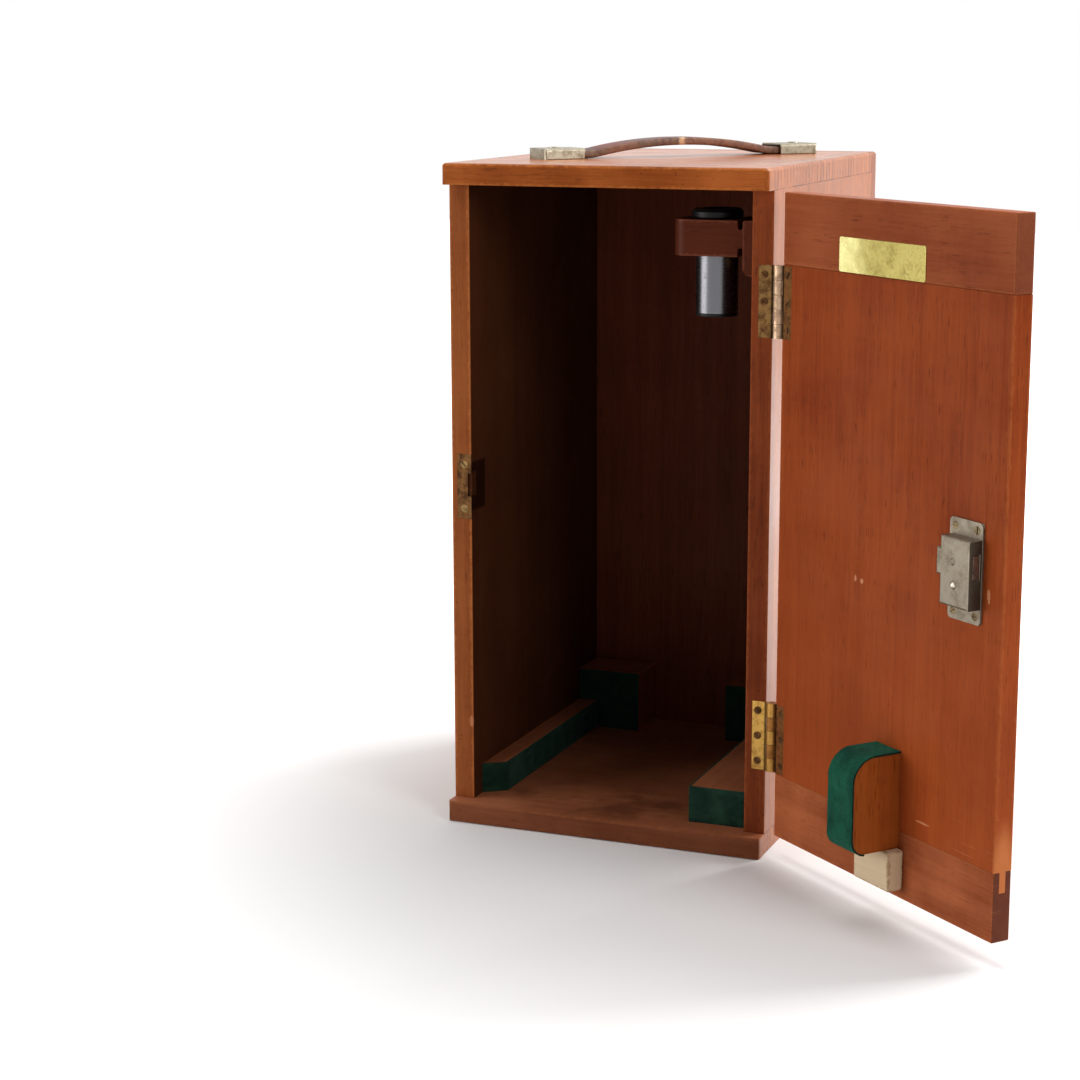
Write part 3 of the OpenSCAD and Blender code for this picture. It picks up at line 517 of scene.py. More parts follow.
@dataclass(frozen=True)
class Leather:
    """Old harness leather, dark and creased, rubbed pale along its edges and middle."""

    name: str
    body: Colour
    dark: Colour
    worn: Colour

    def on(self, node: str, middle: Vector, along: float) -> bpy.types.Material:
        """Makes the leather of a strap.

        Args:
            node: the strap's node.
            middle: the strap's middle, where hands have worn it through.
            along: the angle of the strap's length from the X axis.

        Returns:
            The material.
        """
        g = Graph(f"{self.name}_{node}")
        turn = Euler((0.0, 0.0, -along))
        spot = turn.to_matrix() @ middle
        place = g.mapping(turn, -spot)
        s, t, _ = g.axes(place)
        pebble = g.cells(place, 900.0, "SMOOTH_F1")
        crease = g.noise(g.stretch(place, (420.0, 60.0, 60.0)), 1.0, 3.0, 0.6, 0.8)
        cloud = g.noise(place, 55.0, 4.0, 0.6)
        colour = g.blend(g.span(cloud, 0.3, 0.7), self.dark, self.body)
        colour = g.blend(g.calc("MULTIPLY", g.span(crease, 0.55, 0.75), 0.45), colour, self.dark)
        end = g.span(g.calc("ABSOLUTE", s), 0.045, 0.060)
        colour = g.blend(g.calc("MULTIPLY", end, 0.75), colour, self.dark)
        side = g.calc("ABSOLUTE", t)
        ragged = g.calc("MULTIPLY_ADD", g.calc("SUBTRACT", g.noise(place, 420.0, 3.0, 0.7), 0.5), 0.004, side)
        rub = g.calc("MULTIPLY", g.span(ragged, 0.0078, 0.0094), 0.2)
        colour = g.blend(rub, colour, self.worn)
        reach = g.calc("MULTIPLY_ADD", g.calc("SUBTRACT", g.noise(place, 330.0, 4.0, 0.7), 0.5), 0.010, g.calc("ABSOLUTE", s))
        hole = g.calc("MULTIPLY", g.span(reach, 0.0004, 0.0030, 1.0, 0.0), g.span(ragged, 0.0045, 0.0080))
        colour = g.blend(g.calc("MULTIPLY", hole, 0.95), colour, self.worn)
        g.put(g.shader.inputs["Base Color"], colour)
        g.put(g.shader.inputs["Roughness"], g.span(cloud, 0.3, 0.7, 0.38, 0.6))
        g.shader.inputs["Specular IOR Level"].default_value = 0.4
        relief = g.calc("MULTIPLY_ADD", pebble, 0.35, g.calc("MULTIPLY", crease, -0.8))
        g.bump(g.calc("ADD", relief, g.calc("MULTIPLY", hole, -1.6)), 0.0002, 0.8)
        return g.material


@dataclass(frozen=True)
class Lacquer:
    """Satin black lacquer over turned metal, with fine turning lines and rubbed spots."""

    name: str
    body: Colour
    rubbed: Colour
    metallic: float = 0.0
    gloss: float = 0.45

    def on(self, node: str) -> bpy.types.Material:
        """Makes the lacquer for one turned piece."""
        g = Graph(f"{self.name}_{node}")
        place = g.mapping((0.0, 0.0, 0.0))
        fine = g.noise(g.stretch(place, (60.0, 60.0, 4000.0)), 1.0, 2.0, 0.5)
        wear = g.noise(place, 500.0, 4.0, 0.7)
        colour = g.blend(g.calc("MULTIPLY", g.span(wear, 0.62, 0.75), 0.5), self.body, self.rubbed)
        g.put(g.shader.inputs["Base Color"], colour)
        g.shader.inputs["Metallic"].default_value = self.metallic
        g.put(g.shader.inputs["Roughness"], g.span(fine, 0.3, 0.7, self.gloss - 0.08, self.gloss + 0.08))
        g.shader.inputs["Specular IOR Level"].default_value = 0.15
        g.bump(fine, 0.00001, 0.5)
        return g.material


@dataclass(frozen=True)
class LensGlass:
    """Clear optical glass with a faint green body and dust on its face."""

    name: str
    tint: Colour

    def on(self, node: str) -> bpy.types.Material:
        """Makes the glass for one lens."""
        g = Graph(f"{self.name}_{node}")
        place = g.mapping((0.0, 0.0, 0.0))
        dust = g.span(g.noise(place, 2500.0, 2.0, 0.5), 0.66, 0.76)
        g.put(g.shader.inputs["Base Color"], g.blend(g.calc("MULTIPLY", dust, 0.3), self.tint, (0.6, 0.6, 0.58)))
        g.put(g.shader.inputs["Roughness"], g.calc("MULTIPLY_ADD", dust, 0.3, 0.03))
        g.shader.inputs["Transmission Weight"].default_value = 1.0
        g.shader.inputs["IOR"].default_value = 1.52
        return g.material


# A wood's inner is the share of colour its inside faces keep; the rest is darkening, partly age and partly painted
# shade.
MAHOGANY = Wood("mahogany", srgb(112, 53, 21), srgb(166, 96, 52), srgb(56, 24, 12), srgb(190, 112, 58), coat=0.6, inner=0.2, fade=0.45, blotch=0.5)
TOP_WOOD = Wood("top_mahogany", srgb(122, 56, 18), srgb(190, 106, 50), srgb(60, 26, 12), srgb(200, 118, 56), coat=0.6, inner=0.2)
# Painted shade: a darker copy of the mahogany for the right side, whose front edge lies in the open door's shade.
SHADED_RIGHT_WOOD = Wood("shaded_right_mahogany", srgb(90, 36, 16), srgb(146, 72, 38), srgb(44, 18, 10), srgb(156, 80, 42), coat=0.6, inner=0.3, blotch=0.5)
BACK_WOOD = Wood("back_mahogany", srgb(98, 40, 22), srgb(150, 78, 50), srgb(48, 20, 11), srgb(180, 104, 56), coat=0.5, inner=0.64, fade=0.3, blotch=0.35)
DOOR_WOOD = Wood("door_mahogany", srgb(110, 37, 10), srgb(159, 75, 33), srgb(70, 25, 10), srgb(184, 104, 54), coat=0.6, pores=0.6, wear=0.3, blotch=0.6, figure=0.26, lines=1.25, fade=0.3)
CLEAT_WOOD = Wood("cleat_mahogany", srgb(118, 50, 22), srgb(164, 88, 52), srgb(78, 32, 16), srgb(170, 100, 60), coat=0.6, wear=0.3, end_grain=0.72, lines=0.6, end=srgb(76, 42, 36), fade=0.3)
FLOOR_WOOD = Wood("floor_mahogany", srgb(122, 68, 42), srgb(176, 108, 74), srgb(60, 33, 23), srgb(176, 106, 62), coat=0.4, lines=0.7)
RACK_WOOD = Wood("rack_mahogany", srgb(66, 27, 15), srgb(98, 46, 28), srgb(40, 18, 12), srgb(128, 72, 52), wear=0.5, blotch=0.5, figure=0.15)
BLOCK_WOOD = Wood("block_mahogany", srgb(118, 52, 14), srgb(160, 82, 32), srgb(58, 22, 8), srgb(120, 60, 26), gloss=0.5, pores=0.55, wear=0.35)
PALE_WOOD = Wood("pale_softwood", srgb(206, 180, 146), srgb(228, 206, 174), srgb(176, 146, 108), srgb(156, 120, 82), gloss=0.65, pores=0.15, wear=0.75, ring_mm=2.6, figure=0.15, end=srgb(150, 118, 84))
NICKEL = Metal("aged_nickel", srgb(158, 150, 132), srgb(120, 110, 90), cover=0.42, gloss=0.34, spots=0.35)
LOCK_NICKEL = Metal("lock_nickel", srgb(124, 115, 101), srgb(112, 102, 88), cover=0.5, gloss=0.4, spots=0.0, grit=0.000006)
# The name plate's rub colour is the painted highlight on its hinge-side half.
PLATE_BRASS = Metal("plate_brass", srgb(172, 158, 90), srgb(132, 118, 62), cover=0.5, gloss=0.24, spots=0.3, grit=0.00003, rub=srgb(240, 232, 160))
BRIGHT_BRASS = Metal("bright_brass", srgb(190, 148, 76), srgb(150, 110, 54), cover=0.45, gloss=0.32, spots=0.45)
DULL_BRASS = Metal("dull_brass", srgb(110, 82, 48), srgb(76, 52, 30), cover=0.5, gloss=0.42, spots=0.5)
DOOR_BRASS = Metal("door_brass", srgb(104, 68, 34), srgb(70, 44, 24), cover=0.5, gloss=0.4, spots=0.5)
RED_BRASS = Metal("red_brass", srgb(122, 76, 40), srgb(86, 52, 30), cover=0.5, gloss=0.45, spots=0.4, rub=srgb(150, 104, 52))
DARK_BRASS = Metal("dark_brass", srgb(96, 66, 38), srgb(62, 40, 24), cover=0.5, gloss=0.45, spots=0.6)
SCREW_BRASS = Metal("screw_brass", srgb(124, 100, 64), srgb(80, 60, 38), cover=0.5, gloss=0.35, spots=0.6)
LOCK_SCREW = Metal("lock_screw", srgb(116, 100, 74), srgb(66, 54, 38), cover=0.5, gloss=0.35, spots=0.6)
DARK_STEEL = Metal("dark_steel", srgb(112, 92, 80), srgb(74, 56, 48), cover=0.5, gloss=0.4)
STEEL = Metal("spring_steel", srgb(150, 152, 156), srgb(96, 92, 90), cover=0.4, gloss=0.3)
CHROME = Metal("bright_plate", srgb(94, 93, 96), srgb(80, 78, 79), cover=0.1, gloss=0.28, spots=0.05, grit=0.000002)
RIVET = Metal("lock_rivet", srgb(206, 196, 178), srgb(150, 138, 120), cover=0.3, gloss=0.22, spots=0.1, grit=0.000002)
BAIZE = Felt("baize", srgb(6, 50, 38), srgb(24, 84, 62), srgb(100, 120, 102))
DUSTY_BAIZE = Felt("dusty_baize", srgb(13, 36, 27), srgb(34, 60, 46), srgb(96, 108, 92))
STRAP_LEATHER = Leather("strap_leather", srgb(106, 50, 35), srgb(54, 25, 19), srgb(222, 176, 134))
BLACK = Lacquer("black_lacquer", srgb(16, 14, 14), srgb(40, 36, 34))
GLASS = LensGlass("lens_glass", (0.92, 0.97, 0.95))


def own_box(node: str, turn: Sequence[float]) -> tuple[Vector, Vector]:
    """Finds a node's box along turned axes.

    Args:
        node: the node's name.
        turn: Euler angles from the row's frame to the turned one.

    Returns:
        The low and high corners in the turned frame.
    """
    matrix = Euler(turn).to_matrix()
    points = [matrix @ v.co for v in frame["nodes"][node].data.vertices]
    low = Vector([min(p[i] for p in points) for i in range(3)])
    high = Vector([max(p[i] for p in points) for i in range(3)])
    return low, high


def deselect() -> None:
    """Leaves nothing selected and no object in edit mode."""
    if bpy.context.object is not None and bpy.context.object.mode != "OBJECT":
        bpy.ops.object.mode_set(mode="OBJECT")
    bpy.ops.object.select_all(action="DESELECT")


def take(piece: bpy.types.Object) -> None:
    """Selects one piece alone and makes it active."""
    deselect()
    piece.select_set(True)
    bpy.context.view_layer.objects.active = piece


def edit(piece: bpy.types.Object, mode: str = "FACE", everything: bool = True) -> None:
    """Opens one piece in edit mode with all of it, or none of it, selected."""
    take(piece)
    bpy.ops.object.mode_set(mode="EDIT")
    bpy.ops.mesh.select_mode(type=mode)
    bpy.ops.mesh.select_all(action="SELECT" if everything else "DESELECT")


def pick_faces(piece: bpy.types.Object, wanted: Callable[[bpy.types.MeshPolygon], bool]) -> None:
    """Selects the faces that a test picks, and returns to edit mode."""
    bpy.ops.object.mode_set(mode="OBJECT")
    mesh = piece.data
    for item in (*mesh.vertices, *mesh.edges, *mesh.polygons):
        item.select = False
    for face in mesh.polygons:
        face.select = wanted(face)
    bpy.ops.object.mode_set(mode="EDIT")
    bpy.ops.mesh.select_mode(type="FACE")


def settle(piece: bpy.types.Object) -> None:
    """Applies a piece's place, so that its object sits at the origin."""
    take(piece)
    bpy.ops.object.transform_apply(location=True, rotation=True, scale=True)


def apply_modifiers(piece: bpy.types.Object) -> None:
    """Applies every modifier on a piece, in order."""
    take(piece)
    for modifier in list(piece.modifiers):
        bpy.ops.object.modifier_apply(modifier=modifier.name)


def smooth(piece: bpy.types.Object, angle: float = 40.0) -> None:
    """Shades a piece smooth but for edges sharper than an angle in degrees."""
    take(piece)
    bpy.ops.object.shade_smooth_by_angle(angle=math.radians(angle))


def dress(piece: bpy.types.Object, material: bpy.types.Material) -> None:
    """Gives a piece one material all over."""
    if piece.material_slots:
        for slot in piece.material_slots:
            slot.material = material
    else:
        piece.data.materials.append(material)


def stand_for(piece: bpy.types.Object, node: str, material: bpy.types.Material) -> bpy.types.Object:
    """Lets a modelled piece stand for a node: same body, new finish, and the node hidden."""
    dress(piece, material)
    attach(piece, frame["nodes"][node]["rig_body"])
    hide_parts(node)
    LOG.info("%s stands for %s", piece.name, node)
    return piece


def keep(node: str, material: bpy.types.Material) -> None:
    """Keeps a node's own shape and gives it a new finish."""
    piece = frame["nodes"][node]
    for slot in piece.material_slots:
        slot.material = material
    LOG.info("%s keeps its shape", node)


def merged_copy(node: str, name: str) -> bpy.types.Object:
    """Copies a node's mesh into a new piece, with its loose triangles joined into faces."""
    source = frame["nodes"][node]
    piece = bpy.data.objects.new(name, source.data.copy())
    bpy.context.scene.collection.objects.link(piece)
    piece.data.materials.clear()
    edit(piece)
    bpy.ops.mesh.remove_doubles(threshold=2e-6)
    bpy.ops.mesh.dissolve_limited(angle_limit=math.radians(0.6))
    bpy.ops.object.mode_set(mode="OBJECT")
    return piece


def eased(node: str, width_mm: float, shortest_mm: float = 3.0, segments: int = 2, bold: Optional[Callable[[Vector, Vector], bool]] = None, bold_mm: float = 0.0, rim: Optional[Euler] = None) -> bpy.types.Object:
    """Copies a node and takes the sharpness off its long edges.

    Args:
        node: the node to copy.
        width_mm: width of the rounding.
        shortest_mm: edges shorter than this stay sharp, such as those round a screw hole.
        segments: steps in the rounding.
        bold: picks the edges, by their two ends in millimetres, that are rounder.
        bold_mm: width of those edges' rounding.
        rim: eases only the outer rim of the node's box, along the axes after this turn.

    Returns:
        The new piece, at rest in the node's place.
    """
    piece = merged_copy(node, f"{node}_eased")
    mesh = piece.data
    folds: dict[tuple[int, int], list[Vector]] = {}
    for face in mesh.polygons:
        for key in face.edge_keys:
            folds.setdefault(key, []).append(face.normal)
    most = max(width_mm, bold_mm)
    turn = rim or Euler()
    matrix = turn.to_matrix()
    low, high = (corner * 1000 for corner in own_box(node, turn))
    weights = mesh.attributes.new("bevel_weight_edge", "FLOAT", "EDGE")
    for edge in mesh.edges:
        first, second = (mesh.vertices[i].co * 1000 for i in edge.vertices)
        normals = folds.get(tuple(sorted(edge.vertices)), [])
        if len(normals) != 2 or normals[0].dot(normals[1]) > 0.75:
            continue
        if bold is not None and bold(first, second):
            weights.data[edge.index].value = bold_mm / most
        elif rim is not None and not on_rim(matrix @ first, matrix @ second, low, high):
            continue
        elif (first - second).length > shortest_mm:
            weights.data[edge.index].value = width_mm / most
    bevel = piece.modifiers.new("ease", "BEVEL")
    bevel.limit_method = "WEIGHT"
    bevel.width = most * MM
    bevel.segments = segments
    bevel.use_clamp_overlap = False
    apply_modifiers(piece)
    smooth(piece)
    even(piece)
    return piece


def on_rim(first: Vector, second: Vector, low: Vector, high: Vector) -> bool:
    """Tells whether an edge lies on two faces of a box, all in millimetres."""
    faces = 0
    for i in range(3):
        for level in (low[i], high[i]):
            faces += abs(first[i] - level) < 0.02 and abs(second[i] - level) < 0.02
    return faces >= 2


def even(piece: bpy.types.Object) -> None:
    """Turns the shading of rounded edges to their flat neighbours, which stay flat."""
    weighted = piece.modifiers.new("even", "WEIGHTED_NORMAL")
    weighted.mode = "FACE_AREA"
    weighted.weight = 100
    weighted.keep_sharp = True
    apply_modifiers(piece)


def islands(node: str) -> list[list[Vector]]:
    """Splits a node's mesh into its separate solids and gives each one's points."""
    source = frame["nodes"][node].data
    keys: dict[tuple[int, int, int], int] = {}
    parent: list[int] = []
    points: list[Vector] = []

    def root(i: int) -> int:
        """Finds the group that a point belongs to."""
        while parent[i] != i:
            parent[i] = parent[parent[i]]
            i = parent[i]
        return i

    index = []
    for vertex in source.vertices:
        key = tuple(round(c * 1e6) for c in vertex.co)
        if key not in keys:
            keys[key] = len(parent)
            parent.append(len(parent))
            points.append(vertex.co.copy())
        index.append(keys[key])
    for face in source.polygons:
        corners = [index[i] for i in face.vertices]
        for other in corners[1:]:
            parent[root(other)] = root(corners[0])
    groups: dict[int, list[Vector]] = {}
    for i, point in enumerate(points):
        groups.setdefault(root(i), []).append(point)
    return sorted(groups.values(), key=lambda group: (round(group[0].z, 3), round(group[0].x, 3)))


@dataclass
class Screw:
    """A slotted wood screw, modelled once and copied to every place."""

    head_mm: float
    shank_mm: float
    length_mm: float
    slot_mm: float = 0.55
    slot_deep_mm: float = 0.5
    round_head_mm: float = 0.0

    def model(self, name: str) -> bpy.types.Object:
        """Models the screw with its head's face at the origin, facing +Z."""
        deselect()
        taper = self.head_mm - self.shank_mm
        if self.round_head_mm > 0:
            bpy.ops.mesh.primitive_cylinder_add(vertices=36, radius=self.head_mm * MM, depth=self.round_head_mm * MM, location=(0, 0, -self.round_head_mm * MM / 2))
        else:
            bpy.ops.mesh.primitive_cone_add(vertices=36, radius1=self.shank_mm * MM, radius2=self.head_mm * MM, depth=taper * MM, location=(0, 0, -taper * MM / 2))
        piece = bpy.context.object
        piece.name = name
        settle(piece)
        edit(piece)
        foot = -(self.round_head_mm or taper) * MM
        pick_faces(piece, lambda f: abs(f.center.z - foot) < 1e-5 and abs(f.normal.z) > 0.9)
        if self.round_head_mm > 0:
            bpy.ops.mesh.inset(thickness=(self.head_mm - self.shank_mm) * MM)
        bpy.ops.mesh.extrude_region_move(TRANSFORM_OT_translate={"value": (0, 0, -(self.length_mm * MM + foot))})
        pick_faces(piece, lambda f: f.center.z > -1e-6 and f.normal.z > 0.9)
        if self.round_head_mm > 0:
            bpy.ops.mesh.bevel(offset=0.25 * MM, segments=2, affect="EDGES")
            pick_faces(piece, lambda f: f.center.z > -1e-6 and f.normal.z > 0.99 and len(f.vertices) > 8)
        bpy.ops.mesh.inset(thickness=0.18 * MM)
        for side in (-1, 1):
            bpy.ops.mesh.bisect(plane_co=(side * self.slot_mm * MM / 2, 0, 0), plane_no=(1, 0, 0))
            pick_faces(piece, lambda f: f.center.z > -1e-6 and f.normal.z > 0.99 and abs(f.center.x) < self.head_mm * MM * 0.5 and f.area > 2e-7)
        pick_faces(piece, lambda f: f.center.z > -1e-6 and f.normal.z > 0.99 and abs(f.center.x) < self.slot_mm * MM * 0.3 and abs(f.center.y) < self.head_mm * MM * 0.4)
        bpy.ops.mesh.extrude_region_move(TRANSFORM_OT_translate={"value": (0, 0, -self.slot_deep_mm * MM)})
        bpy.ops.object.mode_set(mode="OBJECT")
        return piece

    def drive(self, node: str, axis: Vector, material: bpy.types.Material, seed: int) -> bpy.types.Object:
        """Puts a copy in each of a node's screw places and joins them into one piece.

        Args:
            node: the node whose solids are the screws.
            axis: the way the heads face.
            material: their finish.
            seed: starts the turns of their slots.

        Returns:
            The piece that stands for the node.
        """
        draw = random.Random(seed)
        master = self.model(f"{node}_slotted")
        copies = []
        to_axis = Vector((0, 0, 1)).rotation_difference(axis).to_matrix().to_4x4()
        for group in islands(node):
            top = max(p.dot(axis) for p in group)
            rim = [p for p in group if top - p.dot(axis) < 1e-5]
            middle = sum(rim, Vector()) / len(rim)
            copy = bpy.data.objects.new(f"{node}_copy", master.data.copy())
            bpy.context.scene.collection.objects.link(copy)
            spin = Matrix.Rotation(draw.uniform(-0.9, 0.9) + math.pi / 2, 4, "Z")
            copy.data.transform(Matrix.Translation(middle) @ to_axis @ spin)
            copies.append(copy)
        deselect()
        for copy in copies:
            copy.select_set(True)
        bpy.context.view_layer.objects.active = copies[0]
        bpy.ops.object.join()
        piece = copies[0]
        bpy.data.objects.remove(master)
        piece.name = f"{node}_slotted"
        smooth(piece, 25.0)
        return stand_for(piece, node, material)


@dataclass
class Studio:
    """The camera at the photograph's place, soft lamps and a plain pale floor."""

    eye: Vector = field(default_factory=lambda: Vector((468.24, -1327.29, 441.73)) * MM)
    yaw: float = math.radians(22.489)
    pitch: float = math.radians(11.580)
    roll: float = math.radians(-0.181)
    focal_mm: float = 2398.63 / 1080 * 36
    floor_size: float = 9.0

    def camera(self) -> None:
        """Makes the camera and sets it as the scene's."""
        ahead = Vector((-math.sin(self.yaw) * math.cos(self.pitch), math.cos(self.yaw) * math.cos(self.pitch), -math.sin(self.pitch)))
        right = Vector((math.cos(self.yaw), math.sin(self.yaw), 0.0))
        up = right.cross(ahead)
        right, up = math.cos(self.roll) * right + math.sin(self.roll) * up, math.cos(self.roll) * up - math.sin(self.roll) * right
        data = bpy.data.cameras.new("camera")
        data.lens = self.focal_mm
        data.sensor_width = 36.0
        data.clip_end = 50.0
        camera = bpy.data.objects.new("camera", data)
        bpy.context.scene.collection.objects.link(camera)
        matrix = Matrix((right, up, -ahead)).transposed().to_4x4()
        matrix.translation = self.eye
        camera.matrix_world = matrix
        bpy.context.scene.camera = camera

    def lamp(self, name: str, at: Sequence[float], towards: Sequence[float], size: float, watts: float) -> None:
        """Adds a square soft lamp that faces a point."""
        data = bpy.data.lights.new(name, "AREA")
        data.size = size
        data.energy = watts
        lamp = bpy.data.objects.new(name, data)
        bpy.context.scene.collection.objects.link(lamp)
        lamp.location = at
        lamp.rotation_euler = (Vector(at) - Vector(towards)).to_track_quat("Z", "Y").to_euler()

    def sees_white(self, tree: bpy.types.NodeTree) -> bpy.types.NodeSocket:
        """Adds a factor that is 1 for camera, glossy and transmitted rays."""
        path = tree.nodes.new("ShaderNodeLightPath")
        first = tree.nodes.new("ShaderNodeMath")
        first.operation = "MAXIMUM"
        tree.links.new(path.outputs["Is Camera Ray"], first.inputs[0])
        tree.links.new(path.outputs["Is Glossy Ray"], first.inputs[1])
        second = tree.nodes.new("ShaderNodeMath")
        second.operation = "MAXIMUM"
        tree.links.new(first.outputs[0], second.inputs[0])
        tree.links.new(path.outputs["Is Transmission Ray"], second.inputs[1])
        return second.outputs[0]

    def world(self) -> None:
        """Lights the scene evenly from all round and shows white behind the object."""
        world = bpy.data.worlds.new("white_room")
        world.use_nodes = True
        tree = world.node_tree
        tree.nodes.clear()
        output = tree.nodes.new("ShaderNodeOutputWorld")
        glow, backdrop = tree.nodes.new("ShaderNodeBackground"), tree.nodes.new("ShaderNodeBackground")
        glow.inputs["Color"].default_value = (1.0, 1.0, 1.0, 1.0)
        glow.inputs["Strength"].default_value = 0.12
        backdrop.inputs["Color"].default_value = (1.0, 1.0, 1.0, 1.0)
        backdrop.inputs["Strength"].default_value = 1.0
        mix = tree.nodes.new("ShaderNodeMixShader")
        tree.links.new(self.sees_white(tree), mix.inputs[0])
        tree.links.new(glow.outputs[0], mix.inputs[1])
        tree.links.new(backdrop.outputs[0], mix.inputs[2])
        tree.links.new(mix.outputs[0], output.inputs[0])
        bpy.context.scene.world = world

    def floor(self) -> None:
        """Adds the pale floor, which keeps the object's shadow."""
        deselect()
        bpy.ops.mesh.primitive_plane_add(size=self.floor_size, location=(0, 0, -0.0002))
        floor = bpy.context.object
        floor.name = "studio_floor"
        g = Graph("studio_floor")
        cloud = g.noise(g.place, 3.0, 2.0, 0.5)
        g.put(g.shader.inputs["Base Color"], g.blend(cloud, (0.77, 0.765, 0.76), (0.79, 0.785, 0.78)))
        g.shader.inputs["Roughness"].default_value = 0.9
        g.shader.inputs["Specular IOR Level"].default_value = 0.1
        glow = g.tree.nodes.new("ShaderNodeEmission")
        away = g.tree.nodes.new("ShaderNodeVectorMath")
        away.operation = "LENGTH"
        g.put(away.inputs[0], g.shift(g.place, (-0.09, 0.06, 0.0)))
        near = g.span(away.outputs["Value"], 0.17, 0.47, 0.02, 0.52)
        fade = g.calc("ADD", near, g.span(away.outputs["Value"], 0.45, 1.2, 0.0, 0.75))
        g.put(glow.inputs["Strength"], g.calc("MULTIPLY", self.sees_white(g.tree), fade))
        add = g.tree.nodes.new("ShaderNodeAddShader")
        g.tree.links.new(g.shader.outputs[0], add.inputs[0])
        g.tree.links.new(glow.outputs[0], add.inputs[1])
        g.tree.links.new(add.outputs[0], g.output.inputs[0])
        dress(floor, g.material)

    def build(self) -> None:
        """Makes camera, world, lamps and floor, and sets the plain view transform."""
        self.camera()
        self.world()
        self.floor()
        target = (0.05, -0.1, 0.2)
        self.lamp("left_softbox", (-1.45, -1.0, 0.4), target, 1.1, 18.5)
        self.lamp("right_softbox", (1.5, -0.8, 1.0), target, 1.0, 14.0)
        self.lamp("rear_softbox", (1.2, 1.05, 1.1), target, 1.0, 42.0)
        self.lamp("top_softbox", (-0.2, 0.1, 1.9), target, 1.4, 22.0)
        bpy.context.scene.view_settings.view_transform = "Standard"
        LOG.info("studio ready")


